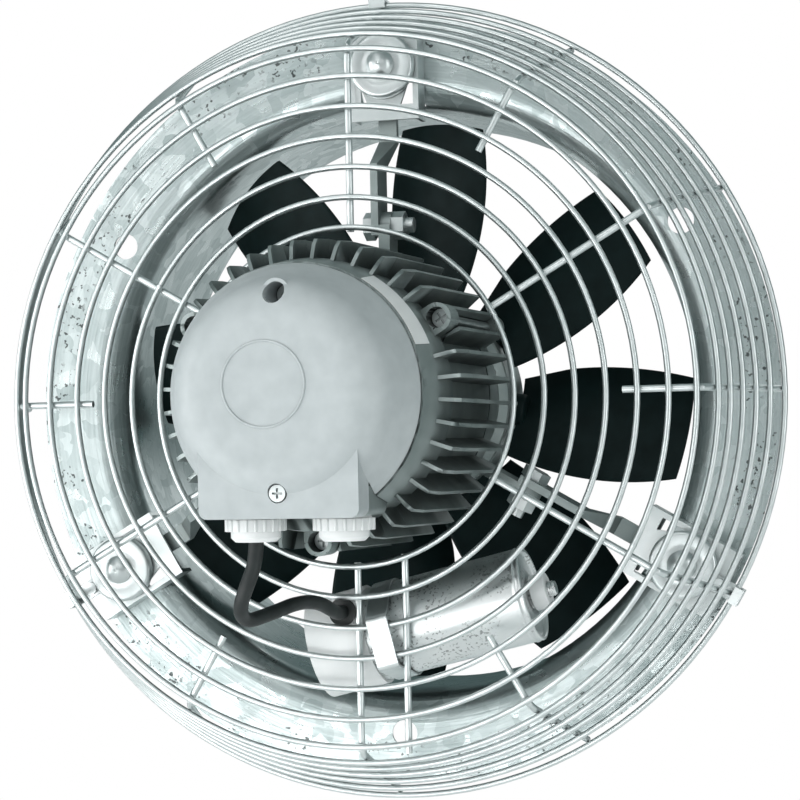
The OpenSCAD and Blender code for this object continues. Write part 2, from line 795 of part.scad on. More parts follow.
module bearing_balls() {
    color(bright_zinc) stand() at_bearings() at_balls() sphere(r = ball_r, $fn = 32);
}

// Crown cages: a ring beside the balls, with open pockets round them
module bearing_cages() {
    color(white_plastic) stand() at_bearings() difference() {
        tube(ball_path_r + 1.4, ball_path_r - 1.4, -4.6, 1);
        at_balls() sphere(r = ball_r + 0.15, $fn = 32);
    }
}

module wave_washer() {
    color(bright_zinc) stand()
        tube(bearing_out_r - 0.3, ball_path_r + 2.2, rear_bearing_h + bearing_w + snug,
            rear_bearing_h + bearing_w + 1);
}

module shaft_circlip() {
    color(zinc) stand()
        tube(bearing_bore_r + 1.2, bearing_bore_r - 0.7, front_bearing_h - 1.1, front_bearing_h - 0.1);
}

module shaft_key() {
    color(zinc) stand() translate([-key_w / 2, shaft_r - key_h / 2 + snug, hub_bore_end + 4 + snug])
        cube([key_w, key_h, 20]);
}

// Rubber ring that keeps water out of the drive endshield
module shaft_seal() {
    color(rubber_black) stand() tube(shaft_r + 4, shaft_r + snug, motor_h - 4, motor_h - 0.3);
}

// The bed of one blade's foot, cut into both halves of the hub
module foot_beds() {
    for (i = [1:blade_count]) rotate([0, 0, blade_angle(i)]) translate([0, 0, split_h]) rotate([0, 90, 0]) {
        rod(stub_r + snug, collar_in_r - 2, hub_r + 3);
        rod(collar_r + snug, collar_in_r - snug, collar_in_r + collar_len + snug);
    }
}

module hub_key_slot() {
    translate([-key_w / 2 - snug, 0, hub_bore_end + 4])
        cube([key_w + 2 * snug, shaft_r + key_h / 2 + 2 * snug, hub_boss_top - hub_bore_end]);
}

module at_hub_bolts() {
    for (i = [1:blade_count]) rotate([0, 0, blade_angle(i) + 180 / blade_count])
        translate([hub_r - 8, 0, 0]) children();
}

// Half of the hub on the motor side, with the long boss
module hub_front() {
    color(cast) stand() difference() {
        union() {
            rod(hub_r, split_h, hub_front_h - 4);
            rotate_extrude($fn = smooth * 2) polygon([
                [0, hub_front_h - 5], [hub_r, hub_front_h - 5], [hub_r - 5, hub_front_h],
                [0, hub_front_h]]);
            rod(hub_boss_r, split_h, hub_boss_top);
        }
        tube(hub_r - 16, hub_boss_r + 4, hub_front_h - 6, hub_front_h + cut);
        rod(shaft_r + snug, split_h - cut, hub_boss_top + cut);
        hub_key_slot();
        foot_beds();
        at_hub_bolts() rod(3.2, split_h - cut, hub_front_h + cut);
    }
}

// Half of the hub on the far side, which the end screw holds on the shaft
module hub_rear() {
    color(cast) stand() difference() {
        rotate_extrude($fn = smooth * 2) polygon([
            [0, hub_rear_h], [hub_r - 5, hub_rear_h], [hub_r, hub_rear_h + 5],
            [hub_r, split_h], [0, split_h]]);
        rod(12, hub_rear_h - cut, hub_bore_end);
        rod(shaft_r + snug, hub_rear_h, split_h + cut);
        hub_key_slot();
        foot_beds();
        at_hub_bolts() rod(3.2, hub_rear_h - cut, split_h + cut);
    }
}

module hub_bolts() {
    color(bright_zinc) stand() at_hub_bolts() {
        hexagon(10, hub_rear_h - 4, hub_rear_h);
        rod(3, hub_rear_h, hub_front_h + 3);
    }
}

module hub_screw() {
    color(bright_zinc) stand() {
        rod(2.9, shaft_end - 4, shaft_end + 12);
        rod(11, hub_bore_end - 2, hub_bore_end);
        rod(2.9, hub_bore_end - 0.5, shaft_end);
        hexagon(13, hub_bore_end - 6, hub_bore_end - 2);
    }
}

// Blade outline: how far its two edges lie from its middle, in degrees, at radius r
function blade_angle(i) = first_blade + (i - 1) * 360 / blade_count;
function reach(r) = max(0, (r - blade_root_r) / (tip_r - blade_root_r));
function rear_edge(r) = 17.5 - 7.3 * pow(max(0, (reach(r) - 0.266) / 0.734), 1.2);
function front_edge(r) = -22.8 + 12.5 * pow(reach(r), 1.3);

// A point on a blade: u runs across it from the rear edge to the front edge, side is -1 or 1
blade_camber = 4;
function blade_point(r, u, side) =
    let (turn = rear_edge(r) + u * (front_edge(r) - rear_edge(r)),
         chord = (rear_edge(r) - front_edge(r)) * PI / 180 * r,
         slant = norm([chord, blade_rise]),
         thick = side * blade_t / 2 * (u == 0 || u == 1 ? 0.45 : 1),
         a = turn + thick * blade_rise / slant * 180 / PI / r,
         h = blade_mid_h + (u - 0.5) * blade_rise + blade_camber * 4 * u * (1 - u) - blade_camber / 2
             + thick * chord / slant)
    [r * cos(a), r * sin(a), h];

blade_steps_u = 8;
blade_steps_r = 8;

module blade_sheet() {
    nu = blade_steps_u + 1;
    nr = blade_steps_r + 1;
    half = nu * nr;
    points = [for (side = [-1, 1], j = [0:blade_steps_r], i = [0:blade_steps_u])
        blade_point(blade_root_r + j * (tip_r - blade_root_r) / blade_steps_r, i / blade_steps_u, side)];
    low = [for (j = [0:nr - 2], i = [0:nu - 2])
        let (p = j * nu + i) each [[p, p + 1, p + nu], [p + 1, p + nu + 1, p + nu]]];
    rim = concat(
        [for (i = [0:nu - 1]) i],
        [for (j = [1:nr - 1]) j * nu + nu - 1],
        [for (i = [nu - 2:-1:0]) (nr - 1) * nu + i],
        [for (j = [nr - 2:-1:1]) j * nu]);
    count = len(rim);
    high = [for (f = low) [f[0] + half, f[2] + half, f[1] + half]];
    wall = [for (k = [0:count - 1]) let (a = rim[k], b = rim[(k + 1) % count])
        each [[a, a + half, b], [b, a + half, b + half]]];
    polyhedron(points, concat(low, high, wall), convexity = 6);
}

// One blade: a thin twisted sheet on a round foot with a collar
module blade(i) {
    color(blade_black) stand() rotate([0, 0, blade_angle(i)]) {
        blade_sheet();
        translate([0, 0, split_h]) rotate([0, 90, 0]) {
            rod(stub_r, collar_in_r, blade_root_r + 4);
            rod(collar_r, collar_in_r, collar_in_r + collar_len);
        }
    }
}

// The box's outline seen from the front, drawn in by an inset
module box_outline(inset) {
    half_w = gland_block_w / 2 - inset;
    low = -gland_wall_y + inset;
    r = max(block_corner_r - inset, 0.5);
    intersection() {
        circle(r = base_r - inset, $fn = smooth * 2);
        translate([-cover_r, low]) square([2 * cover_r, 2 * cover_r]);
    }
    translate([-half_w, low + r]) square([2 * half_w, -low - r]);
    translate([-half_w + r, low]) square([2 * (half_w - r), r + 1]);
    for (side = [-1, 1]) translate([side * (half_w - r), low + r]) circle(r = r, $fn = smooth);
}

// The part of the outline that stands out for the glands, widened by a clearance
module block_region(grow) {
    half_w = gland_block_w / 2 + grow;
    translate([-half_w, -cover_r - cut]) square([2 * half_w, cover_r + cut - block_start_y + grow]);
}

// Places of the cover's screws: the first above the middle, the second below it
module at_cover_screw(i) {
    translate([0, screw_dist * (i == 0 ? 1 : -1), 0]) children();
}

module at_base_screws() {
    for (a = [0, 120, 240]) rotate([0, 0, a]) translate([base_screw_r, 0, 0]) children();
}

module at_glands() {
    for (side = [-1, 1]) translate([side * gland_x, 0, gland_h]) rotate([90, 0, 0]) children();
}

// Box base on the far endshield, with higher walls round the glands
module terminal_base() {
    color(cast) stand() difference() {
        union() {
            difference() {
                translate([0, 0, box_h]) linear_extrude(base_depth) box_outline(0);
                translate([0, 0, box_h + base_floor]) linear_extrude(base_depth) box_outline(box_wall);
            }
            translate([0, 0, box_h + 1]) linear_extrude(gland_wall_top - box_h - 1) intersection() {
                difference() {
                    box_outline(0);
                    box_outline(box_wall);
                }
                block_region(0);
            }
            for (i = [0, 1]) at_cover_screw(i) rod(post_r, box_h, seam_h);
        }
        for (i = [0, 1]) at_cover_screw(i) rod(cover_screw_d / 2 + snug, box_h + base_floor, seam_h + cut);
        at_base_screws() rod(2.2, box_h - cut, box_h + base_floor + cut);
        translate([0, wire_hole_y, 0]) rod(wire_hole_r, box_h - cut, box_h + base_floor + cut);
        at_glands() rod(gland_thread_d / 2 + loose, gland_wall_y - box_wall - cut, gland_wall_y + cut);
    }
}

// The cover's solid form, drawn in by an inset: a cone with a rounded flat face, joined to the gland block
module cover_form(inset) {
    rim = cover_r - inset;
    top_r = face_r - inset;
    face = face_h - inset;
    lean = atan2(rim - top_r, face - cover_h - lip_h);
    round_mid = [top_r - face_round * tan((90 - lean) / 2), face - face_round];
    intersection() {
        rotate_extrude($fn = smooth * 2) polygon(concat(
            [[0, cover_h], [rim, cover_h], [rim, cover_h + lip_h]],
            [for (k = [0:4])
                let (a = lean + k * (90 - lean) / 4) round_mid + face_round * [cos(a), sin(a)]],
            [[0, face]]));
        translate([-cover_r, -gland_wall_y + inset, cover_h - cut]) cube(2 * cover_r);
    }
    translate([0, 0, cover_h]) linear_extrude(face_h - block_step - inset - cover_h) intersection() {
        box_outline(inset);
        translate([-gland_block_w / 2, -gland_wall_y]) square([gland_block_w, gland_wall_y]);
    }
}

module terminal_cover() {
    color(light_plastic) stand() difference() {
        union() {
            difference() {
                cover_form(0);
                translate([0, 0, -0.01]) cover_form(box_wall);
            }
            intersection() {
                cover_form(0);
                for (i = [0, 1]) at_cover_screw(i) rod(post_r, cover_h, face_h);
            }
        }
        for (i = [0, 1]) at_cover_screw(i) {
            rod(cover_screw_d / 2 + loose, cover_h - cut, face_h + cut);
            rod(screw_recess_d[i] / 2, screw_seat_h[i], face_h + cut);
        }
        translate([0, 0, cover_h - cut]) linear_extrude(gland_wall_top + loose - cover_h + cut)
            block_region(loose);
    }
}

// Flat seal between base and cover, left out where the gland block's walls rise
module cover_gasket() {
    color(rubber_black) stand() translate([0, 0, seam_h]) linear_extrude(gasket_t) difference() {
        box_outline(0.4);
        box_outline(box_wall - 0.4);
        block_region(loose);
    }
}

// Cross-head screws, the upper one deep in its recess
module cover_screws() {
    color(bright_zinc) stand() for (i = [0, 1]) at_cover_screw(i) {
        rod(cover_screw_d / 2, box_h + 5, screw_seat_h[i]);
        difference() {
            rod(screw_recess_d[i] / 2 - 0.6, screw_seat_h[i], screw_seat_h[i] + cover_head_h);
            cross_slot(4.8, 1, screw_seat_h[i] + 1);
        }
    }
}

module base_screws() {
    color(bright_zinc) stand() at_base_screws() {
        rod(1.95, box_h - shield_wall - 2, box_h + 3);
        rod(3.6, box_h + 3, box_h + 5.2);
    }
}

// Terminal block with its row of screws
module terminal_block() {
    top = box_h + base_floor + clamp_size[2];
    color(white_plastic) stand() {
        difference() {
            translate([-clamp_size[0] / 2, -clamp_size[1] / 2, box_h + base_floor]) cube(clamp_size);
            for (i = [-2:2]) translate([i * clamp_pitch, 0, 0])
                rod(clamp_bore_r, top - clamp_bore_h, top + cut);
        }
        for (i = [-2:2]) translate([i * clamp_pitch, 0, 0])
            rod(clamp_bore_r - loose, top - clamp_bore_h, top - 1);
    }
}

// Gland bodies through the wall, with their flat nuts inside the box
module gland_bodies() {
    color(white_plastic) stand() at_glands() {
        difference() {
            union() {
                rod(gland_thread_d / 2, gland_wall_y - box_wall - 6, gland_wall_y + 5);
                rod(gland_flange_d / 2, gland_wall_y, gland_wall_y + gland_flange_t);
            }
            rod(gland_bore_d / 2, gland_wall_y - box_wall - 6 - cut, gland_wall_y + 5 + cut);
        }
        intersection() {
            hexagon(lock_nut, gland_wall_y - box_wall - lock_nut_h, gland_wall_y - box_wall,
                gland_thread_d + 2 * snug);
            rod(lock_nut / 2 + 0.4, gland_wall_y - box_wall - lock_nut_h, gland_wall_y - box_wall);
        }
    }
}

// Ribbed cap nuts with a round shoulder
module gland_nuts() {
    low = gland_wall_y + gland_flange_t;
    shoulder = low + gland_nut_h;
    top = shoulder + gland_dome_h;
    rib_r = 0.8;
    nut_r = gland_nut_d / 2 - rib_r;
    dome_r = gland_nut_d / 2 - 2.8;
    rib_count = 20;
    color(white_plastic) stand() at_glands() difference() {
        union() {
            rotate_extrude($fn = smooth) polygon([
                [0, low], [nut_r, low], [nut_r, shoulder], [dome_r, shoulder],
                [dome_r, top - 2], [dome_r - 2, top], [0, top]]);
            for (i = [0:rib_count - 1]) rotate([0, 0, i * 360 / rib_count]) translate([nut_r, 0, 0])
                rod(rib_r, low, shoulder);
        }
        rod(gland_thread_d / 2 + snug, low - cut, gland_wall_y + 5.5);
        rod(cable_d / 2 + 0.4, low, top + cut);
    }
}

// Rubber seals: one round the lead, one a blank plug
module gland_seals() {
    color(rubber_black) stand() for (side = [-1, 1]) translate([side * gland_x, 0, gland_h])
        rotate([90, 0, 0])
        difference() {
            rod(gland_bore_d / 2 - snug, gland_wall_y - 6, gland_wall_y + 5.4);
            if (side < 0) rod(cable_d / 2 + snug, gland_wall_y - 6 - cut, gland_wall_y + 5.4 + cut);
        }
}

// The capacitor's own frame: z runs along the can from its cap to its stud
module at_can() {
    translate([can_mid_x, can_mid_y, can_h]) rotate([0, 0, can_lean]) rotate([0, 90, 0]) children();
}

module capacitor_can() {
    can_end = can_start + can_len;
    color(bright_zinc) stand() at_can() {
        rod(terminal_head_r, can_start - terminal_head_len, can_start);
        rod(can_r, can_start, can_end);
        rod(can_r + can_rim, can_end - 1, can_end + 2);
        rod(bolt_d / 2, can_end, can_end + stud_len);
    }
}

// White cap over the terminals, with an upright inlet for the lead
module capacitor_cap() {
    cap_end = can_start + cap_overlap;
    color(white_plastic) stand() difference() {
        union() {
            at_can() rod(can_r + cap_fit + cap_wall, cap_end - cap_len, cap_end);
            translate([inlet_x, inlet_y, 0]) rod(inlet_r, can_h + 8, inlet_top);
        }
        at_can() rod(can_r + cap_fit, cap_end - cap_len + cap_floor, cap_end + cut);
        translate([inlet_x, inlet_y, 0]) rod(inlet_r - inlet_wall, can_h, inlet_top + cut);
    }
}

module capacitor_grommet() {
    color(rubber_black) stand() translate([inlet_x, inlet_y, 0]) {
        tube(inlet_r - inlet_wall - loose, cable_d / 2 + snug, inlet_top - grommet_h, inlet_top + 0.5);
        tube(inlet_r - 1, cable_d / 2 + snug, inlet_top + snug, inlet_top + grommet_lip);
    }
}

// Plastic nut on the free stud
module capacitor_nut() {
    can_end = can_start + can_len;
    color(white_plastic) stand() at_can() tube(9, bolt_d / 2 + snug, can_end + 2, can_end + 10);
}

// The strap's outline seen along the can: round the can and over two face rings
module strap_outline(grow) {
    front = can_h - guard_h - wire_d / 2 - loose;
    hull() {
        circle(r = can_r + 0.15 + grow, $fn = 60);
        for (side = [-1, 1]) translate([front + strap_corner_r, side * strap_half + strap_shift])
            circle(r = strap_corner_r + grow, $fn = 20);
    }
}

module capacitor_strap() {
    color(bright_zinc) stand() at_can() translate([0, 0, strap_at - strap_w / 2])
        linear_extrude(strap_w) difference() {
        strap_outline(strap_t);
        strap_outline(0);
    }
}

// Tube swept along a list of points; each ring is square to the run of the route there
function run_at(points, i) =
    let (last = len(points) - 1, step = points[min(i + 1, last)] - points[max(i - 1, 0)])
    step / norm(step);
function unit(v) = v / norm(v);
function curve_point(p, i, t) =
    let (last = len(p) - 1, a = p[max(i - 1, 0)], b = p[i],
         c = p[min(i + 1, last)], d = p[min(i + 2, last)])
    0.5 * (2 * b + (c - a) * t + (2 * a - 5 * b + 4 * c - d) * t * t + (3 * b - 3 * c + d - a) * t * t * t);

module swept_tube(points, diameter, sides) {
    steps = 2;
    path = concat([for (i = [0:len(points) - 2], k = [0:steps - 1]) curve_point(points, i, k / steps)],
        [points[len(points) - 1]]);
    count = len(path);
    skin = [for (i = [0:count - 1])
        let (run = run_at(path, i), across_run = unit(cross(run, [1, 0.2, 0])),
             third = cross(run, across_run))
        for (s = [0:sides - 1]) let (a = s * 360 / sides)
            path[i] + diameter / 2 * (cos(a) * across_run + sin(a) * third)];
    walls = [for (i = [0:count - 2], s = [0:sides - 1])
        let (a = i * sides + s, b = i * sides + (s + 1) % sides)
        each [[a, a + sides, b], [b, a + sides, b + sides]]];
    ends = [for (s = [1:sides - 2]) each [[0, s, s + 1],
        [(count - 1) * sides, (count - 1) * sides + s + 1, (count - 1) * sides + s]]];
    polyhedron(skin, concat(walls, ends), convexity = 8);
}

module capacitor_cable() {
    color(rubber_black) stand() swept_tube(cable_points, cable_d, cable_sides);
}

// Bare label strip on the far endshield's cup
module label_strip() {
    color(white_plastic) stand() rotate_extrude(start = 20, angle = 38, $fn = smooth * 2) polygon([
        [cup_r(label_from_h) + snug, label_from_h], [cup_r(label_from_h) + label_t, label_from_h],
        [cup_r(label_to_h) + label_t, label_to_h], [cup_r(label_to_h) + snug, label_to_h]]);
}

wall_ring();
guard_face_rings();
guard_side_rings();
guard_spokes();
guard_clips();
clip_screws();
strut_brackets();
damper_rubbers();
damper_cups();
damper_bolts();
damper_nuts();
strut_arms();
lug_bolts();
lug_nuts();
motor_housing();
rear_endshield();
drive_endshield();
tie_screws();
stator_core();
stator_winding();
shaft();
rotor_core();
rotor_cage();
bearing_outer_rings();
bearing_inner_rings();
bearing_balls();
bearing_cages();
wave_washer();
shaft_circlip();
shaft_key();
shaft_seal();
hub_front();
hub_rear();
hub_bolts();
hub_screw();
terminal_base();
terminal_cover();
cover_gasket();
cover_screws();
base_screws();
terminal_block();
gland_bodies();
gland_nuts();
gland_seals();
capacitor_can();
capacitor_cap();
capacitor_grommet();
capacitor_nut();
capacitor_strap();
capacitor_cable();
label_strip();
for (i = [1:blade_count]) blade(i);
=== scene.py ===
# %% [markdown]
# Axial wall fan
#
# The real fan is a spun sheet ring with a nozzle, three damped struts, a finned motor with a round
# terminal box, an impeller of eight blades, a wire guard and a strapped capacitor. The engineering model
# gives every piece at its real size, so this lesson only dresses it: finishes, light, and meshes for the
# pieces whose shape needs more than the engineering solid has.

# %% Load the engineering model
import json
import math
import bmesh
import bpy
from mathutils import Matrix, Vector


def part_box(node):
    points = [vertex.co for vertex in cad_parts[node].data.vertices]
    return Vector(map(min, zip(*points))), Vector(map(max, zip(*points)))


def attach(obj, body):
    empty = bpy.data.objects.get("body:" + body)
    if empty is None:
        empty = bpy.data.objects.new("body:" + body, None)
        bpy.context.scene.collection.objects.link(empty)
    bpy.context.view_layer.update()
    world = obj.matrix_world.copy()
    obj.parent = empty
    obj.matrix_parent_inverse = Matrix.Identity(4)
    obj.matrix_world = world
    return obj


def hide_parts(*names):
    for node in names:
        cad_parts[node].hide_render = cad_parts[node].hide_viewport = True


MM = 0.001

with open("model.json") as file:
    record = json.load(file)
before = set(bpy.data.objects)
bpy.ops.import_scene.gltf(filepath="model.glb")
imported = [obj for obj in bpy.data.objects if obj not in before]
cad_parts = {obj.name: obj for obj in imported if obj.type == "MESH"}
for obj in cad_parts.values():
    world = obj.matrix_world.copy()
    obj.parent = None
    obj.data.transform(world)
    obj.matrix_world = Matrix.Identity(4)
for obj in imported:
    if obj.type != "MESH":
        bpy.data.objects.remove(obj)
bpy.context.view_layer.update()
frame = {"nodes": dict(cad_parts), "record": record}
nodes = frame["nodes"]

# %% [markdown]
# The camera is a longer lens about 1.1 m in front of the guard and a little to the right. Its place was
# worked out from the guard's rings, whose round shape shows how far each one is turned and how deep it
# lies. The fan in the picture is also rolled by a little over a degree about its own axis, so the camera
# is rolled the other way.

# %% Camera
GUARD_FACE_Y = -0.097
CAMERA_DISTANCE = 1.1295
CAMERA_TURN = math.radians(16.475)
CAMERA_RISE = math.radians(-0.987)
LOOK_TURN = math.radians(15.144)
LOOK_RISE = math.radians(-0.908)
FAN_ROLL = math.radians(1.3)
LENS_MM = 101.48


def direction(turn, rise):
    """Unit vector from the fan towards a viewer at that turn and rise."""
    return Vector((math.sin(turn) * math.cos(rise), -math.cos(turn) * math.cos(rise), math.sin(rise)))


def add_camera():
    camera = bpy.data.objects.new("camera", bpy.data.cameras.new("camera"))
    bpy.context.scene.collection.objects.link(camera)
    camera.data.lens = LENS_MM
    camera.data.clip_start = 0.05
    camera.data.clip_end = 50
    back = direction(LOOK_TURN, LOOK_RISE)
    right = Vector((math.cos(LOOK_TURN), math.sin(LOOK_TURN), 0))
    up = back.cross(right)
    place = Vector((0, GUARD_FACE_Y, 0)) + CAMERA_DISTANCE * direction(CAMERA_TURN, CAMERA_RISE)
    axes = Matrix((right, up, back)).transposed().to_4x4()
    camera.matrix_world = Matrix.Rotation(FAN_ROLL, 4, "Y") @ Matrix.Translation(place) @ axes
    bpy.context.scene.camera = camera
    return camera


camera = add_camera()
print("camera at", [round(v, 3) for v in camera.matrix_world.translation])

# %% [markdown]
# A studio picture of bare metal needs a bright side and a dark side: a wire looks like a wire because its
# middle mirrors the lamps and its edges mirror the dark room. The world is white where the camera sees it
# directly, and for light and reflections it is bright in front of the fan and dim behind it. Large lamps
# stand in for softboxes.

# %% World, lamps and floor
FRONT_GLOW = 0.24
BACK_GLOW = 0.09
TOP_GLOW = 0.08
DIM_TINT = (0.52, 1.0, 1.0, 1)
BRIGHT_TINT = (0.92, 1.0, 1.0, 1)
BRIGHT_FROM = 0.35
FLOOR_HEIGHT = -0.62
FLOOR_REACH = 12
FLOOR_GLOW = 0.3


def new_node(tree, kind, settings=None, **inputs):
    """A node with its settings and the values of its sockets."""
    made = tree.nodes.new(kind)
    for name, value in (settings or {}).items():
        setattr(made, name, value)
    for name, value in inputs.items():
        made.inputs[name].default_value = value
    return made


def math_node(tree, operation, first, second=0.0, clamp=False):
    """A Math node on two sockets or numbers; returns its output."""
    made = tree.nodes.new("ShaderNodeMath")
    made.operation = operation
    made.use_clamp = clamp
    for socket, value in zip(made.inputs, (first, second)):
        if isinstance(value, bpy.types.NodeSocket):
            tree.links.new(value, socket)
        else:
            socket.default_value = value
    return made.outputs[0]


def seen_directly(tree, otherwise, seen):
    """Two shaders: camera rays meet the second, all other rays the first. Returns the output."""
    path = tree.nodes.new("ShaderNodeLightPath")
    choose = tree.nodes.new("ShaderNodeMixShader")
    tree.links.new(path.outputs["Is Camera Ray"], choose.inputs[0])
    tree.links.new(otherwise.outputs[0], choose.inputs[1])
    tree.links.new(seen.outputs[0], choose.inputs[2])
    return choose.outputs[0]


def build_world():
    """A room that is bright in front and above and dim behind, tinted where it is dim."""
    world = bpy.data.worlds.new("studio")
    bpy.context.scene.world = world
    world.use_nodes = True
    tree = world.node_tree
    tree.nodes.clear()
    coords = tree.nodes.new("ShaderNodeTexCoord")
    split = tree.nodes.new("ShaderNodeSeparateXYZ")
    tree.links.new(coords.outputs["Generated"], split.inputs[0])
    front = math_node(tree, "MULTIPLY", math_node(tree, "SUBTRACT", 1.0, split.outputs["Y"]), 0.5)
    top = math_node(tree, "MAXIMUM", split.outputs["Z"], 0.0)
    glow = math_node(tree, "MULTIPLY", math_node(tree, "POWER", front, 2.0), FRONT_GLOW)
    glow = math_node(tree, "ADD", glow, math_node(tree, "MULTIPLY", top, TOP_GLOW))
    glow = math_node(tree, "ADD", glow, BACK_GLOW)
    tint = tree.nodes.new("ShaderNodeValToRGB")
    tint.color_ramp.elements[0].color = DIM_TINT
    tint.color_ramp.elements[1].color = BRIGHT_TINT
    tint.color_ramp.elements[1].position = BRIGHT_FROM
    tree.links.new(glow, tint.inputs[0])
    room = tree.nodes.new("ShaderNodeBackground")
    tree.links.new(tint.outputs["Color"], room.inputs["Color"])
    tree.links.new(glow, room.inputs["Strength"])
    backdrop = new_node(tree, "ShaderNodeBackground", Color=(1, 1, 1, 1), Strength=1.0)
    out = tree.nodes.new("ShaderNodeOutputWorld")
    tree.links.new(seen_directly(tree, room, backdrop), out.inputs["Surface"])


def add_lamp(name, place, target, size, power):
    """A rectangular lamp of a size in metres and a power in watts, turned to a target."""
    data = bpy.data.lights.new(name, "AREA")
    data.shape = "RECTANGLE"
    data.size, data.size_y = size
    data.energy = power
    lamp = bpy.data.objects.new(name, data)
    bpy.context.scene.collection.objects.link(lamp)
    lamp.location = place
    lamp.rotation_mode = "QUATERNION"
    lamp.rotation_quaternion = (Vector(target) - Vector(place)).to_track_quat("-Z", "Y")


def plain_shader(name, colour, roughness):
    """A material with a Principled shader; returns the material, its tree and the shader."""
    material = bpy.data.materials.new(name)
    material.use_nodes = True
    tree = material.node_tree
    shader = tree.nodes["Principled BSDF"]
    shader.inputs["Base Color"].default_value = (*colour, 1)
    shader.inputs["Roughness"].default_value = roughness
    return material, tree, shader


def add_floor():
    """A pale floor that glows a little; the camera sees it as plain white."""
    mesh = bpy.data.meshes.new("floor")
    corners = [(-1, -1), (1, -1), (1, 1), (-1, 1)]
    places = [(FLOOR_REACH * x, FLOOR_REACH * y, FLOOR_HEIGHT) for x, y in corners]
    mesh.from_pydata(places, [], [(0, 1, 2, 3)])
    floor = bpy.data.objects.new("floor", mesh)
    bpy.context.scene.collection.objects.link(floor)
    material, tree, shader = plain_shader("pale floor", (0.85, 0.86, 0.86), 0.9)
    shader.inputs["Emission Color"].default_value = (1, 1, 1, 1)
    shader.inputs["Emission Strength"].default_value = FLOOR_GLOW
    white = new_node(tree, "ShaderNodeEmission", Color=(1, 1, 1, 1), Strength=1.0)
    surface = tree.nodes["Material Output"].inputs["Surface"]
    tree.links.new(seen_directly(tree, shader, white), surface)
    mesh.materials.append(material)


build_world()
add_lamp("softbox above", (-0.6, -0.8, 1.7), (0, 0, 0), (1.6, 1.0), 3)
add_lamp("softbox high in front", (-0.4, -1.9, 1.3), (0, -0.1, 0), (1.2, 0.8), 5)
add_lamp("softbox left in front", (-1.1, -1.7, 0.1), (0, -0.1, 0), (0.9, 1.4), 6.5)
add_lamp("softbox left", (-1.8, -0.8, 0.0), (0, -0.1, 0), (0.7, 1.5), 12)
add_lamp("softbox low", (-0.5, -1.5, -0.52), (0, -0.1, 0), (1.2, 0.4), 6)
add_lamp("softbox right", (1.7, -0.9, 0.2), (0, -0.1, 0), (0.4, 1.4), 6)
add_lamp("softbox right in front", (0.8, -2.0, 0.8), (0, -0.1, 0), (0.9, 0.9), 3)
add_lamp("softbox behind", (0.7, 1.9, 0.9), (0, 0.1, 0), (1.2, 1.2), 4)
add_floor()
bpy.context.scene.view_settings.view_transform = "Standard"

# %% [markdown]
# Shader node groups hold the effects that several finishes share. Grain is fine noise for bump and
# roughness. Zinc bloom is the leafy pattern of hot-dip zinc, made of cells of slightly different tone.
# Spun lines run round the fan axis, as a spinning tool leaves them. Painted corner shade darkens the colour
# where surfaces meet closely, where shade falls.

# %% Shader groups
FLOAT = "NodeSocketFloat"


def new_group(name, inputs, outputs):
    """An empty node group with number inputs, their usual values, and number outputs."""
    tree = bpy.data.node_groups.new(name, "ShaderNodeTree")
    for label, value in inputs.items():
        socket = tree.interface.new_socket(label, in_out="INPUT", socket_type=FLOAT)
        socket.default_value = value
    for label in outputs:
        tree.interface.new_socket(label, in_out="OUTPUT", socket_type=FLOAT)
    return tree, tree.nodes.new("NodeGroupInput"), tree.nodes.new("NodeGroupOutput")


def object_noise(tree, coords, **values):
    """Noise that keeps its place on the object."""
    noise = new_node(tree, "ShaderNodeTexNoise", **values)
    tree.links.new(coords.outputs["Object"], noise.inputs["Vector"])
    return noise


def grain_group():
    """Fine grain for the height, and broad soft patches of it for the mask."""
    broad_share = 0.08
    tree, given, result = new_group("grain", {"Scale": 400.0, "Detail": 3.0}, ("Mask", "Height"))
    coords = tree.nodes.new("ShaderNodeTexCoord")
    fine = object_noise(tree, coords)
    tree.links.new(given.outputs["Scale"], fine.inputs["Scale"])
    tree.links.new(given.outputs["Detail"], fine.inputs["Detail"])
    broad = object_noise(tree, coords)
    broad_scale = math_node(tree, "MULTIPLY", given.outputs["Scale"], broad_share)
    tree.links.new(broad_scale, broad.inputs["Scale"])
    tree.links.new(broad.outputs["Fac"], result.inputs["Mask"])
    tree.links.new(fine.outputs["Fac"], result.inputs["Height"])
    return tree


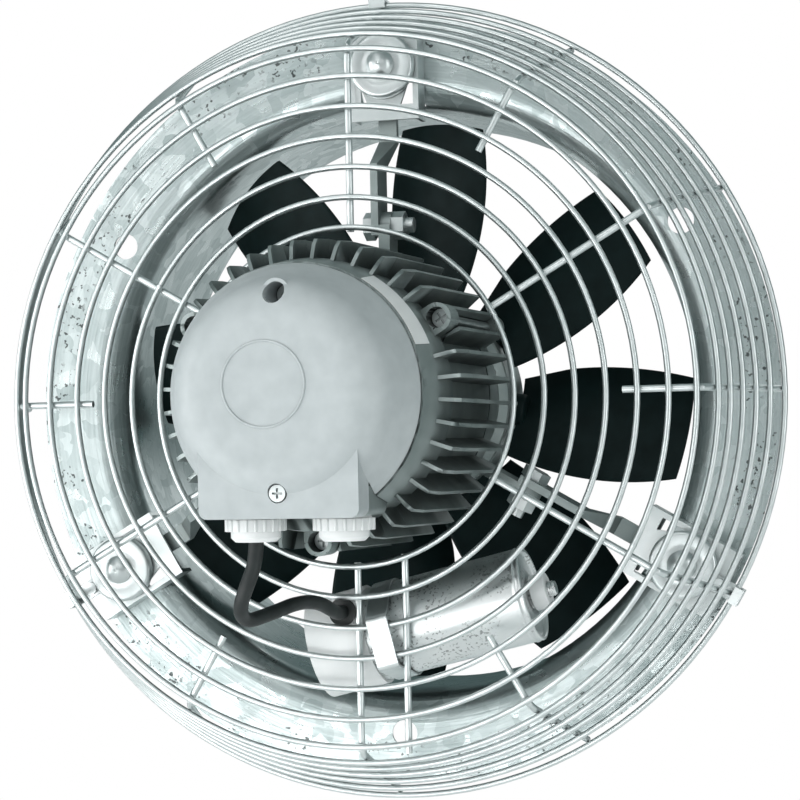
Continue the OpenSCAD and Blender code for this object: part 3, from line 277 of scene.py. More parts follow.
def zinc_bloom_group():
    """Leafy cells with clouds over them, and small dark specks that gather in patches."""
    cell_bend = 0.02
    cell_share = 0.45
    speck_edge = 16.0
    patch_level = 0.44
    patch_edge = 9.0
    tree, given, result = new_group("zinc bloom", {"Scale": 90.0, "Speck Scale": 420.0, "Speck Level": 0.62},
                                    ("Tone", "Height", "Dark Specks"))
    coords = tree.nodes.new("ShaderNodeTexCoord")
    warp = object_noise(tree, coords, Scale=60.0, Detail=2.0)
    bent = tree.nodes.new("ShaderNodeMixRGB")
    bent.blend_type = "ADD"
    bent.inputs[0].default_value = cell_bend
    tree.links.new(coords.outputs["Object"], bent.inputs[1])
    tree.links.new(warp.outputs["Color"], bent.inputs[2])
    cells = new_node(tree, "ShaderNodeTexVoronoi", {"feature": "F1"})
    tree.links.new(bent.outputs[0], cells.inputs["Vector"])
    tree.links.new(given.outputs["Scale"], cells.inputs["Scale"])
    tone = tree.nodes.new("ShaderNodeSeparateColor")
    tree.links.new(cells.outputs["Color"], tone.inputs[0])
    cloud = object_noise(tree, coords, Scale=22.0, Detail=5.0, Roughness=0.65)
    clouds = math_node(tree, "MULTIPLY", cloud.outputs["Fac"], 1 - cell_share)
    mixed = math_node(tree, "ADD", math_node(tree, "MULTIPLY", tone.outputs[0], cell_share), clouds)
    specks = object_noise(tree, coords, Detail=1.0)
    tree.links.new(given.outputs["Speck Scale"], specks.inputs["Scale"])
    patches = object_noise(tree, coords, Scale=45.0, Detail=1.0)
    speck_share = math_node(tree, "SUBTRACT", specks.outputs["Fac"], given.outputs["Speck Level"])
    speck_share = math_node(tree, "MULTIPLY", speck_share, speck_edge, clamp=True)
    where = math_node(tree, "SUBTRACT", patches.outputs["Fac"], patch_level)
    where = math_node(tree, "MULTIPLY", where, patch_edge, clamp=True)
    speck_share = math_node(tree, "MULTIPLY", speck_share, where)
    tree.links.new(mixed, result.inputs["Tone"])
    tree.links.new(mixed, result.inputs["Height"])
    tree.links.new(speck_share, result.inputs["Dark Specks"])
    return tree


def spun_lines_group():
    """Streaks that run round the fan axis, and the distance from that axis."""
    tree, given, result = new_group("spun lines", {"Lines": 900.0, "Length": 3.0}, ("Mask", "Radius"))
    coords = tree.nodes.new("ShaderNodeTexCoord")
    split = tree.nodes.new("ShaderNodeSeparateXYZ")
    tree.links.new(coords.outputs["Object"], split.inputs[0])
    x, y, z = (split.outputs[k] for k in "XYZ")
    radius = math_node(tree, "SQRT", math_node(tree, "ADD", math_node(tree, "MULTIPLY", x, x),
                                               math_node(tree, "MULTIPLY", z, z)))
    angle = math_node(tree, "ABSOLUTE", math_node(tree, "ARCTAN2", x, z))
    polar = tree.nodes.new("ShaderNodeCombineXYZ")
    tree.links.new(math_node(tree, "MULTIPLY", radius, given.outputs["Lines"]), polar.inputs["X"])
    tree.links.new(math_node(tree, "MULTIPLY", angle, given.outputs["Length"]), polar.inputs["Y"])
    tree.links.new(math_node(tree, "MULTIPLY", y, given.outputs["Lines"]), polar.inputs["Z"])
    streaks = new_node(tree, "ShaderNodeTexNoise", Scale=1.0, Detail=2.0)
    tree.links.new(polar.outputs[0], streaks.inputs["Vector"])
    tree.links.new(streaks.outputs["Fac"], result.inputs["Mask"])
    tree.links.new(radius, result.inputs["Radius"])
    return tree


def painted_shade_group():
    """Painted shade: white on open faces, dark where surfaces meet closely."""
    tree, given, result = new_group("painted corner shade", {"Reach": 0.006, "Strength": 0.6}, ("Unshaded",))
    shade = new_node(tree, "ShaderNodeAmbientOcclusion", {"samples": 8})
    tree.links.new(given.outputs["Reach"], shade.inputs["Distance"])
    dark = math_node(tree, "SUBTRACT", 1.0, shade.outputs["AO"])
    dark = math_node(tree, "MULTIPLY", dark, given.outputs["Strength"])
    tree.links.new(math_node(tree, "SUBTRACT", 1.0, dark, clamp=True), result.inputs["Unshaded"])
    return tree


GROUPS = {
    "grain": grain_group(),
    "bloom": zinc_bloom_group(),
    "spun": spun_lines_group(),
    "painted_shade": painted_shade_group(),
}
print("shader groups:", ", ".join(GROUPS))

# %% [markdown]
# Each finish is one short function. A finish mixes two colours by a mask, lets the same mask change the
# roughness, and raises a small bump. The metals are wholly or nearly metal in the shader, so their grey
# comes from what they mirror.

# %% Helpers for finishes
MASK_RANGE = (0.25, 0.75)
GRAIN_DEPTH = 0.0002


def place_group(tree, name, **values):
    """One of the shader groups, with values on its inputs."""
    made = tree.nodes.new("ShaderNodeGroup")
    made.node_tree = GROUPS[name]
    for label, value in values.items():
        made.inputs[label].default_value = value
    return made


def mix_colours(tree, mask, low, high):
    """A ramp from one colour to another by a mask."""
    ramp = tree.nodes.new("ShaderNodeValToRGB")
    for element, position, colour in zip(ramp.color_ramp.elements, MASK_RANGE, (low, high)):
        element.position = position
        element.color = (*colour, 1)
    tree.links.new(mask, ramp.inputs[0])
    return ramp.outputs["Color"]


def spread(tree, mask, low, high):
    """A mask stretched to lie between two numbers."""
    made = tree.nodes.new("ShaderNodeMapRange")
    made.inputs["From Min"].default_value = MASK_RANGE[0]
    made.inputs["From Max"].default_value = MASK_RANGE[1]
    made.inputs["To Min"].default_value = low
    made.inputs["To Max"].default_value = high
    tree.links.new(mask, made.inputs["Value"])
    return made.outputs[0]


def darken(tree, colour, unshaded):
    """A colour multiplied by a share that is low where shade is painted, and where a finish has dark marks.
    """
    made = tree.nodes.new("ShaderNodeMixRGB")
    made.blend_type = "MULTIPLY"
    made.inputs[0].default_value = 1.0
    tree.links.new(colour, made.inputs[1])
    tree.links.new(unshaded, made.inputs[2])
    return made.outputs[0]


def add_bump(tree, shader, heights, strength, distance):
    """Bump from the sum of heights."""
    total = heights[0]
    for height in heights[1:]:
        total = math_node(tree, "ADD", total, height)
    bump = new_node(tree, "ShaderNodeBump", Strength=strength, Distance=distance)
    tree.links.new(total, bump.inputs["Height"])
    tree.links.new(bump.outputs[0], shader.inputs["Normal"])


def finish_of(name, low, high, rough, metal, grain_scale, bump, painted_shade=0.5, reach=0.006, shine=0.5):
    """A finish from two tones, a grain, a bump, painted shade in the corners and a share of plain shine."""
    material, tree, shader = plain_shader(name, high, rough[1])
    grain = place_group(tree, "grain", Scale=grain_scale)
    # Painted shade: the colour is darkened where surfaces meet closely.
    unshaded = place_group(tree, "painted_shade", Reach=reach, Strength=painted_shade)
    colour = mix_colours(tree, grain.outputs["Mask"], low, high)
    tree.links.new(darken(tree, colour, unshaded.outputs["Unshaded"]), shader.inputs["Base Color"])
    tree.links.new(spread(tree, grain.outputs["Mask"], *rough), shader.inputs["Roughness"])
    shader.inputs["Metallic"].default_value = metal
    shader.inputs["Specular IOR Level"].default_value = shine
    add_bump(tree, shader, [grain.outputs["Height"]], bump, GRAIN_DEPTH)
    return material


# %% Metal finishes
# Painted reflections of the guard wires on the flange: where they start, how sharply, and how dark.
WIRE_REFLECTIONS_FROM_R = 0.184
WIRE_REFLECTIONS_EDGE = 600.0
WIRE_REFLECTION_DARKNESS = 0.8
BLOOM_SHARE = 0.7
BLOOM_DEPTH = 0.0005
MARK_DARKNESS = 0.5


def galvanised_sheet():
    """Hot-dip zinc on spun sheet: leafy bloom over faint lines round the axis, painted reflections of the
    guard wires as dark specks near the rim, and painted shade in the corners.
    """
    material, tree, shader = plain_shader("galvanised sheet", (0.6, 0.65, 0.65), 0.35)
    bloom = place_group(tree, "bloom", Scale=110.0)
    spun = place_group(tree, "spun", Lines=700.0, Length=4.0)
    # Painted shade in the corners of the sheet.
    unshaded = place_group(tree, "painted_shade", Reach=0.012, Strength=0.5)
    leafy = math_node(tree, "MULTIPLY", bloom.outputs["Tone"], BLOOM_SHARE)
    lines = math_node(tree, "MULTIPLY", spun.outputs["Mask"], 1 - BLOOM_SHARE)
    tone = math_node(tree, "ADD", leafy, lines)
    colour = mix_colours(tree, tone, (0.40, 0.47, 0.47), (0.76, 0.82, 0.82))
    # Painted reflections: dark specks in a band near the rim stand for the guard wires mirrored in the rough
    # zinc.
    reflection_band = math_node(tree, "SUBTRACT", spun.outputs["Radius"], WIRE_REFLECTIONS_FROM_R)
    reflection_band = math_node(tree, "MULTIPLY", reflection_band, WIRE_REFLECTIONS_EDGE, clamp=True)
    speck_share = math_node(tree, "MULTIPLY", bloom.outputs["Dark Specks"], reflection_band)
    speck_share = math_node(tree, "MULTIPLY", speck_share, WIRE_REFLECTION_DARKNESS)
    outside_wire_reflections = math_node(tree, "SUBTRACT", 1.0, speck_share)
    colour = darken(tree, colour, math_node(tree, "MULTIPLY", outside_wire_reflections, unshaded.outputs["Unshaded"]))
    tree.links.new(colour, shader.inputs["Base Color"])
    tree.links.new(spread(tree, tone, 0.42, 0.24), shader.inputs["Roughness"])
    shader.inputs["Metallic"].default_value = 1.0
    add_bump(tree, shader, [bloom.outputs["Height"], spun.outputs["Mask"]], 0.35, BLOOM_DEPTH)
    return material


def guard_wire():
    """Drawn wire, zinc plated bright."""
    return finish_of("bright guard wire", low=(0.66, 0.71, 0.71), high=(0.88, 0.92, 0.92),
                     rough=(0.42, 0.28), metal=1.0, grain_scale=900.0, bump=0.04, painted_shade=0.45, reach=0.004)


def zinc_plate():
    """Zinc plated pressings, screws and nuts."""
    return finish_of("zinc plate", low=(0.62, 0.67, 0.67), high=(0.88, 0.91, 0.91),
                     rough=(0.42, 0.28), metal=1.0, grain_scale=700.0, bump=0.06)


def cast_aluminium():
    """Die casting: dull grey skin with a fine orange-peel surface."""
    return finish_of("cast aluminium", low=(0.24, 0.29, 0.285), high=(0.46, 0.51, 0.505),
                     rough=(0.58, 0.42), metal=0.85, grain_scale=420.0, bump=0.35, painted_shade=0.75, reach=0.012)


def machined_steel():
    """Turned and ground steel of the shaft and bearings."""
    return finish_of("machined steel", low=(0.50, 0.51, 0.52), high=(0.66, 0.67, 0.68),
                     rough=(0.30, 0.18), metal=1.0, grain_scale=1200.0, bump=0.04)


def electrical_steel():
    """Stacked sheets of the stator and rotor, with a dark oxide skin."""
    return finish_of("electrical steel", low=(0.16, 0.17, 0.18), high=(0.28, 0.29, 0.30),
                     rough=(0.55, 0.40), metal=0.9, grain_scale=1500.0, bump=0.2)


def copper_wire():
    """Varnished copper of the windings."""
    return finish_of("copper wire", low=(0.42, 0.17, 0.07), high=(0.68, 0.33, 0.17),
                     rough=(0.38, 0.22), metal=1.0, grain_scale=900.0, bump=0.3)


def can_aluminium():
    """Drawn aluminium: bright, a little wavy, with small dark marks in patches."""
    material, tree, shader = plain_shader("can aluminium", (0.9, 0.92, 0.92), 0.3)
    grain = place_group(tree, "grain", Scale=260.0)
    marks = place_group(tree, "bloom", **{"Scale": 160.0, "Speck Scale": 620.0, "Speck Level": 0.58})
    # Painted shade in the corners of the can.
    unshaded = place_group(tree, "painted_shade", Reach=0.006, Strength=0.3)
    colour = mix_colours(tree, grain.outputs["Mask"], (0.80, 0.84, 0.84), (0.95, 0.96, 0.96))
    dark_marks = math_node(tree, "MULTIPLY", marks.outputs["Dark Specks"], MARK_DARKNESS)
    unmarked = math_node(tree, "SUBTRACT", 1.0, dark_marks)
    colour = darken(tree, colour, math_node(tree, "MULTIPLY", unmarked, unshaded.outputs["Unshaded"]))
    tree.links.new(colour, shader.inputs["Base Color"])
    tree.links.new(spread(tree, grain.outputs["Mask"], 0.44, 0.26), shader.inputs["Roughness"])
    shader.inputs["Metallic"].default_value = 1.0
    add_bump(tree, shader, [grain.outputs["Height"]], 0.05, GRAIN_DEPTH)
    return material


# %% Plastic and rubber finishes
def grey_plastic():
    """Moulded grey plastic of the terminal box."""
    return finish_of("grey cover plastic", low=(0.47, 0.51, 0.52), high=(0.54, 0.58, 0.59),
                     rough=(0.50, 0.40), metal=0.0, grain_scale=1400.0, bump=0.06, painted_shade=0.35)


def white_plastic():
    """White plastic of the cable glands and the capacitor's cap."""
    return finish_of("white plastic", low=(0.88, 0.90, 0.90), high=(0.96, 0.97, 0.97),
                     rough=(0.42, 0.30), metal=0.0, grain_scale=900.0, bump=0.05, painted_shade=0.35)


def blade_plastic():
    """Dark filled plastic of the impeller, nearly without shine."""
    return finish_of("blade plastic", low=(0.004, 0.011, 0.011), high=(0.007, 0.018, 0.018),
                     rough=(0.55, 0.44), metal=0.0, grain_scale=1100.0, bump=0.10, painted_shade=0.2, shine=0.12)


def black_rubber():
    """Rubber of the dampers, seals and cable sheath."""
    return finish_of("black rubber", low=(0.008, 0.012, 0.012), high=(0.018, 0.024, 0.024),
                     rough=(0.60, 0.42), metal=0.0, grain_scale=1300.0, bump=0.12, painted_shade=0.3)


FINISHES = {
    "galvanised_sheet": galvanised_sheet(),
    "guard_wire": guard_wire(),
    "zinc_parts": zinc_plate(),
    "cast_aluminium": cast_aluminium(),
    "machined_steel": machined_steel(),
    "electrical_steel": electrical_steel(),
    "copper_wire": copper_wire(),
    "black_rubber": black_rubber(),
    "grey_plastic": grey_plastic(),
    "white_plastic": white_plastic(),
    "can_aluminium": can_aluminium(),
    "blade_plastic": blade_plastic(),
}
print("finishes:", len(FINISHES))

# %% [markdown]
# The record lists which finish each engineering piece has, so one loop dresses them all.

# %% Dress the engineering pieces
def dress(piece, finish):
    """Give a piece one finish in place of any that it has."""
    piece.data.materials.clear()
    piece.data.materials.append(FINISHES[finish])


slots = {row["node"]: row["material_slot"] for row in frame["record"]["subparts"]}
for name, slot in slots.items():
    dress(nodes[name], slot)
print("dressed", len(slots), "nodes")

# %% [markdown]
# Real castings, pressings and mouldings have no knife edges: a thin line of light runs along every edge.
# The engineering solids have sharp edges, so the pieces that show get a copy whose flat faces are joined
# up again and whose edges are rounded by a fraction of a millimetre. The copy stands in the place of the
# solid.

# %% Rounded edges
SMOOTH_ANGLE = math.radians(38)
SHARP_EDGE = math.radians(28)
FLAT_WITHIN = math.radians(0.5)
WELD_WITHIN = 0.002 * MM


def smooth_shading(piece):
    """Smooth faces with sharp edges kept, and normals weighted by the larger faces."""
    piece.data.polygons.foreach_set("use_smooth", [True] * len(piece.data.polygons))
    piece.data.set_sharp_from_angle(angle=SMOOTH_ANGLE)
    weighted = piece.modifiers.new("face weighted normals", "WEIGHTED_NORMAL")
    weighted.keep_sharp = True


def show_piece(name, mesh, slot, body, *stands_for):
    """Link a new piece, finish it, hang it on its body's empty, and hide the pieces it stands for."""
    piece = bpy.data.objects.new(name, mesh)
    bpy.context.scene.collection.objects.link(piece)
    dress(piece, slot)
    smooth_shading(piece)
    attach(piece, body)
    if stands_for:
        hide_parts(*stands_for)
    return piece


def rounded(source, width):
    """The mesh with its flat faces joined up and its edges rounded by a width in millimetres."""
    work = bmesh.new()
    work.from_mesh(source)
    bmesh.ops.remove_doubles(work, verts=work.verts, dist=WELD_WITHIN)
    bmesh.ops.dissolve_limit(work, angle_limit=FLAT_WITHIN, verts=work.verts, edges=work.edges)
    sharp = [edge for edge in work.edges if edge.is_manifold and edge.calc_face_angle() > SHARP_EDGE]
    bmesh.ops.bevel(work, geom=sharp, offset=width * MM, segments=2, profile=0.5, affect="EDGES",
                    clamp_overlap=True)
    bmesh.ops.triangulate(work, faces=[face for face in work.faces if len(face.verts) > 4])
    return work


def rounded_copy(node, width, body="root"):
    """A copy of an engineering piece with rounded edges, which stands in its place."""
    work = rounded(nodes[node].data, width)
    mesh = bpy.data.meshes.new("soft_" + node)
    work.to_mesh(mesh)
    work.free()
    return show_piece("soft_" + node, mesh, slots[node], body, node)


STILL_ROUNDED = {
    "terminal_base": 0.5, "strut_brackets": 0.35, "strut_arms": 0.5,
    "rear_endshield": 0.4, "drive_endshield": 0.5, "motor_housing": 0.3, "gland_nuts": 0.3,
    "guard_clips": 0.3, "capacitor_cap": 0.6, "capacitor_nut": 0.5, "capacitor_strap": 0.2,
}
TURNING_ROUNDED = {"hub_front": 0.6, "hub_rear": 0.6}
for name, width in STILL_ROUNDED.items():
    rounded_copy(name, width)
for name, width in TURNING_ROUNDED.items():
    rounded_copy(name, width, "rotor")
print("rounded", len(STILL_ROUNDED) + len(TURNING_ROUNDED), "pieces")

# %% [markdown]
# Round pieces are turned from a profile, as on a lathe. The drawing lies flat, with its height above the
# wall as z, and one matrix stands it up in metres.

# %% Turned pieces
DRAWING = Matrix.Rotation(math.radians(90), 4, "X") @ Matrix.Scale(MM, 4)
STRUT_ANGLES = (90, 210, 330)
DAMPER_R = 179


def spot(angle, radius, height):
    """The place at an angle round the fan axis, a radius and a height above the wall, in millimetres."""
    return DRAWING @ Matrix.Rotation(math.radians(angle), 4, "Z") @ Matrix.Translation((radius, 0, height))


def turned(work, profile, place, steps=48):
    """Add a profile of (radius, height) turned about its own axis; radius 0 closes an end."""
    rings = []
    for radius, height in profile:
        if radius == 0:
            rings.append([work.verts.new(place @ Vector((0, 0, height)))] * steps)
        else:
            rings.append([work.verts.new(place @ Vector((radius * math.cos(k * math.tau / steps),
                                                         radius * math.sin(k * math.tau / steps), height)))
                          for k in range(steps)])
    for low, high in zip(rings, rings[1:]):
        for k in range(steps):
            corners = (low[k], low[(k + 1) % steps], high[(k + 1) % steps], high[k])
            face = list(dict.fromkeys(corners))
            if len(face) > 2:
                work.faces.new(face)


def mesh_from(work, name):
    """The mesh of a finished bmesh, with its faces turned outwards."""
    bmesh.ops.recalc_face_normals(work, faces=work.faces)
    mesh = bpy.data.meshes.new(name)
    work.to_mesh(mesh)
    work.free()
    return mesh


def arc(middle_r, middle_h, radius, start, end, steps=6):
    """Points of a round corner in a profile, between two angles in degrees."""
    return [(middle_r + radius * math.cos(math.radians(start + (end - start) * k / steps)),
             middle_h + radius * math.sin(math.radians(start + (end - start) * k / steps)))
            for k in range(steps + 1)]


CUP_TOP = -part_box("damper_cups")[0][1] / MM
CUP_LOW = CUP_TOP - 1.5
CUP_R = 17.7
CUP_BORE_R = 4.3
CUP_SIDE_T = 1.0
CUP_ROUND = 2.1
CUP_SKIRT = 3.6
GROOVE_DEPTH = 0.35
cup_inner_r = CUP_R - CUP_SIDE_T
cup_profile = (
    [(CUP_BORE_R, CUP_LOW), (cup_inner_r - CUP_ROUND, CUP_LOW), (cup_inner_r, CUP_LOW - 1.4),
     (cup_inner_r, CUP_LOW - CUP_SKIRT)]
    + arc(CUP_R - CUP_SIDE_T / 2, CUP_LOW - CUP_SKIRT, CUP_SIDE_T / 2, 180, 360)
    + [(CUP_R, CUP_LOW - 1.2)] + arc(CUP_R - CUP_ROUND, CUP_TOP - CUP_ROUND, CUP_ROUND, 0, 90)
    + [(12.6, CUP_TOP), (11.6, CUP_TOP - GROOVE_DEPTH), (9.4, CUP_TOP - GROOVE_DEPTH), (8.6, CUP_TOP),
       (CUP_BORE_R, CUP_TOP), (CUP_BORE_R, CUP_LOW)])
cups = bmesh.new()
for angle in STRUT_ANGLES:
    turned(cups, cup_profile, spot(angle, DAMPER_R, 0), 64)
show_piece("pressed_cups", mesh_from(cups, "pressed_cups"), "zinc_parts", "root", "damper_cups")

NUT_R = 7.6
NUT_FLANGE = 2.1
NUT_DOME_R = 8.6
NUT_DOME_DROP = 2.6
dome_profile = (
    [(0, CUP_TOP), (NUT_R - 0.2, CUP_TOP), (NUT_R, CUP_TOP + 0.5), (NUT_R, CUP_TOP + NUT_FLANGE - 0.5),
     (NUT_R - 0.4, CUP_TOP + NUT_FLANGE)]
    + arc(0, CUP_TOP - NUT_DOME_DROP, NUT_DOME_R, 32, 84, 8) + [(0.6, CUP_TOP + 5.7), (0, CUP_TOP + 5.6)])
domes = bmesh.new()
for angle in STRUT_ANGLES:
    turned(domes, dome_profile, spot(angle, DAMPER_R, 0), 48)
show_piece("domed_nuts", mesh_from(domes, "domed_nuts"), "zinc_parts", "root", "damper_nuts")
print("cup washers and domed nuts at radius", DAMPER_R, "mm, top of the cups at", round(CUP_TOP, 1), "mm")

# %% [markdown]
# The capacitor is a drawn can: a round tube with a rolled bead at its end, and a sunk disc with a raised
# boss that holds the threaded stud. The thread is a row of small rings, close enough at this size.

# %% Capacitor
CAN_ANGLE = -76
CAN_LEAN = 14
CAN_DIST = 119
CAN_R = 24
CAN_SHIFT = (2, 1)
CAN_START = -29
CAN_END = 55
HEAD_R = 16
HEAD_LEN = 6
STUD_R = 4.0
STUD_LEN = 14
THREAD_DEPTH = 0.4
THREAD_TURNS = 11
can_front, can_rear = (-corner[1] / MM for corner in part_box("capacitor_can"))
can_middle = (CAN_DIST * math.cos(math.radians(CAN_ANGLE)) + CAN_SHIFT[0],
              CAN_DIST * math.sin(math.radians(CAN_ANGLE)) + CAN_SHIFT[1],
              (can_front + can_rear) / 2)
can_frame = (DRAWING @ Matrix.Translation(can_middle) @ Matrix.Rotation(math.radians(CAN_LEAN), 4, "Z")
             @ Matrix.Rotation(math.radians(90), 4, "Y"))
thread = []
for k in range(THREAD_TURNS):
    thread += [(STUD_R, CAN_END + 2.6 + k), (STUD_R - THREAD_DEPTH, CAN_END + 3.1 + k)]
head_profile = [(0, CAN_START - HEAD_LEN), (HEAD_R - 0.5, CAN_START - HEAD_LEN),
                (HEAD_R, CAN_START - HEAD_LEN + 0.5), (HEAD_R, CAN_START), (CAN_R - 1, CAN_START)]
side_profile = arc(CAN_R - 1, CAN_START + 1, 1, -90, 0, 4) + [(CAN_R, CAN_END - 3.2)]
bead_profile = (arc(CAN_R - 0.6, CAN_END - 1.6, 1.0, -50, 50, 5) + [(CAN_R - 0.2, CAN_END + 0.2)]
                + arc(CAN_R - 1.0, CAN_END + 1.0, 1.0, 0, 180, 8))
disc_profile = [(CAN_R - 2.1, CAN_END + 0.2), (CAN_R - 2.6, CAN_END - 0.4), (14, CAN_END - 0.4),
                (12.5, CAN_END + 0.6), (7.5, CAN_END + 0.6), (6.8, CAN_END + 1.6), (STUD_R, CAN_END + 1.8)]
stud_profile = thread + [(STUD_R - 0.6, CAN_END + STUD_LEN), (0, CAN_END + STUD_LEN)]
can_profile = head_profile + side_profile + bead_profile + disc_profile + stud_profile
can = bmesh.new()
turned(can, can_profile, can_frame, 96)
show_piece("drawn_can", mesh_from(can, "drawn_can"), "can_aluminium", "root", "capacitor_can")
print("capacitor can", CAN_END - CAN_START, "mm long, middle at", [round(v, 1) for v in can_middle])

# %% [markdown]
# A blade is a thin twisted sheet that grows out of a round foot. The engineering blade follows the same
# rule with a few flat facets. Here the rule is followed in small steps, the sheet is thickest near its
# middle, and its edges are round.

# %% Blades
BLADE_COUNT = 8
FIRST_BLADE = 38
HUB_R = 58
ROOT_R = HUB_R + 2
TIP_R = 154
BLADE_T = 2.8
BLADE_MID = -35.5
BLADE_RISE = 35
BLADE_CAMBER = 4
EDGE_SHARE = 0.025
BLADE_STEPS = 28
REAR_ANGLE = 17.5
REAR_SWEEP = 7.3
REAR_STRAIGHT = 0.266
REAR_POWER = 1.2
FRONT_ANGLE = -22.8
FRONT_SWEEP = 12.5
FRONT_POWER = 1.3
FOOT_R = 9.6
FOOT_ROUND = 2


def reach_of(radius):
    """How far a radius lies from the blade's root to its tip, from 0 to 1."""
    return max(0.0, (radius - ROOT_R) / (TIP_R - ROOT_R))


def rear_edge(radius):
    """Angle of the rear edge in degrees: straight out at first, then drawn in towards the tip."""
    bent = max(0.0, (reach_of(radius) - REAR_STRAIGHT) / (1 - REAR_STRAIGHT))
    return REAR_ANGLE - REAR_SWEEP * bent ** REAR_POWER


def front_edge(radius):
    """Angle of the front edge in degrees, drawn in all the way to the tip."""
    return FRONT_ANGLE + FRONT_SWEEP * reach_of(radius) ** FRONT_POWER


def blade_point(radius, share, side):
    """A point on the blade: share runs from the rear edge to the front edge, side is -1 or 1."""
    turn = rear_edge(radius) + share * (front_edge(radius) - rear_edge(radius))
    chord = math.radians(rear_edge(radius) - front_edge(radius)) * radius
    slant = math.hypot(chord, BLADE_RISE)
    near = min(share, 1 - share) / EDGE_SHARE
    round_edge = 1.0 if near >= 1 else math.sqrt(max(0.0, 1 - (1 - near) ** 2))
    thick = side * BLADE_T / 2 * round_edge * (0.8 + 0.2 * math.sin(math.pi * share))
    angle = math.radians(turn) + thick * BLADE_RISE / slant / radius
    camber = BLADE_CAMBER * 4 * share * (1 - share) - BLADE_CAMBER / 2
    height = BLADE_MID + (share - 0.5) * BLADE_RISE + camber + thick * chord / slant
    return Vector((radius * math.cos(angle), radius * math.sin(angle), height))


def blade_shares(steps):
    """Steps across the blade, closer together at the two round edges."""
    inner = [EDGE_SHARE + k * (1 - 2 * EDGE_SHARE) / steps for k in range(steps + 1)]
    edge = [EDGE_SHARE * (1 - math.cos(math.radians(a))) for a in (0, 30, 60)]
    return edge + inner + [1 - share for share in reversed(edge)]


def build_blade(number):
    """One blade: rings of points from root to tip, joined and closed, with a round foot in the hub."""
    work = bmesh.new()
    place = spot(FIRST_BLADE + (number - 1) * 360 / BLADE_COUNT, 0, 0)
    shares = blade_shares(BLADE_STEPS)
    loops = []
    for k in range(BLADE_STEPS + 1):
        radius = ROOT_R + (TIP_R - ROOT_R) * k / BLADE_STEPS
        front = [blade_point(radius, share, 1) for share in shares]
        back = [blade_point(radius, share, -1) for share in reversed(shares[1:-1])]
        loops.append([work.verts.new(place @ point) for point in front + back])
    for low, high in zip(loops, loops[1:]):
        for k in range(len(low)):
            work.faces.new((low[k], low[(k + 1) % len(low)], high[(k + 1) % len(low)], high[k]))
    work.faces.new(loops[0])
    work.faces.new(loops[-1])
    foot = place @ Matrix.Translation((0, 0, BLADE_MID)) @ Matrix.Rotation(math.radians(90), 4, "Y")
    foot_profile = ([(0, HUB_R - 6), (FOOT_R, HUB_R - 6), (FOOT_R, ROOT_R + 1)]
                    + arc(FOOT_R - FOOT_ROUND, ROOT_R + 2, FOOT_ROUND, 0, 80, 4) + [(0, ROOT_R + 4)])
    turned(work, foot_profile, foot, 32)
    name = f"moulded_blade_{number}"
    return show_piece(name, mesh_from(work, name), "blade_plastic", "rotor", f"blade_{number}")


for number in range(1, BLADE_COUNT + 1):
    build_blade(number)
print("blades", BLADE_COUNT, "from radius", ROOT_R, "to", TIP_R, "mm")

# %% [markdown]
# The lead is held between two housings: it leaves the left cable gland, hangs down behind the guard
# and ends in the capacitor's cap. Its route is the engineering route, drawn here as a smooth round tube.

# %% Capacitor lead
CABLE_R = 3.5
GLAND = Vector((-21.5, -57, 180))
INLET = Vector((-7, -108, 90.05))
FROM_GLAND = [(0, 3, 0), (0, -5, 0), (0, -13, 0), (-1, -23, 1.5), (-4, -32, 3), (-7.5, -40, 1),
              (-9.5, -46, -5)]
FROM_INLET = [(-23, 2, 77), (-19.5, 3, 68), (-15, 5, 58), (-11, 7, 47), (-7, 7.5, 36), (-3.5, 6, 27),
              (-1, 3, 19), (0, 0.5, 11), (0, 0, 4), (0, 0, -4)]


def smooth_route(points, steps):
    """A cubic curve through the points, with so many steps between two of them."""
    route = []
    last = len(points) - 1
    for i in range(last):
        before, here, after = points[max(i - 1, 0)], points[i], points[i + 1]
        beyond = points[min(i + 2, last)]
        for k in range(steps):
            t = k / steps
            slope = after - before
            bend = 2 * before - 5 * here + 4 * after - beyond
            twist = 3 * here - 3 * after + beyond - before
            route.append(0.5 * (2 * here + slope * t + bend * t * t + twist * t ** 3))
    return route + [points[last]]


def swept(work, route, radius, place, sides=20):
    """A round tube along a route, carried from ring to ring without twist."""
    side = Vector((1, 0, 0))
    rings = []
    for i, point in enumerate(route):
        run = (route[min(i + 1, len(route) - 1)] - route[max(i - 1, 0)]).normalized()
        side = (side - run * side.dot(run)).normalized()
        third = run.cross(side)
        angles = [k * math.tau / sides for k in range(sides)]
        outward = [math.cos(angle) * side + math.sin(angle) * third for angle in angles]
        rings.append([work.verts.new(place @ (point + radius * way)) for way in outward])
    for low, high in zip(rings, rings[1:]):
        for k in range(sides):
            work.faces.new((low[k], low[(k + 1) % sides], high[(k + 1) % sides], high[k]))
    work.faces.new(rings[0])
    work.faces.new(rings[-1])


lead_points = [GLAND + Vector(step) for step in FROM_GLAND] + [INLET + Vector(step) for step in FROM_INLET]
lead_route = smooth_route(lead_points, 6)
lead = bmesh.new()
swept(lead, lead_route, CABLE_R, DRAWING)
show_piece("round_lead", mesh_from(lead, "round_lead"), "black_rubber", "root", "capacitor_cable")
lead_length = sum((b - a).length for a, b in zip(lead_route, lead_route[1:]))
print("lead length", round(lead_length), "mm")

# %% [markdown]
# The guard is spot welded: at each crossing the wires are pressed a little into each other and a small
# squashed pillow of metal shows. Each ring is one bent wire whose ends are butt welded, which leaves a
# short collar.

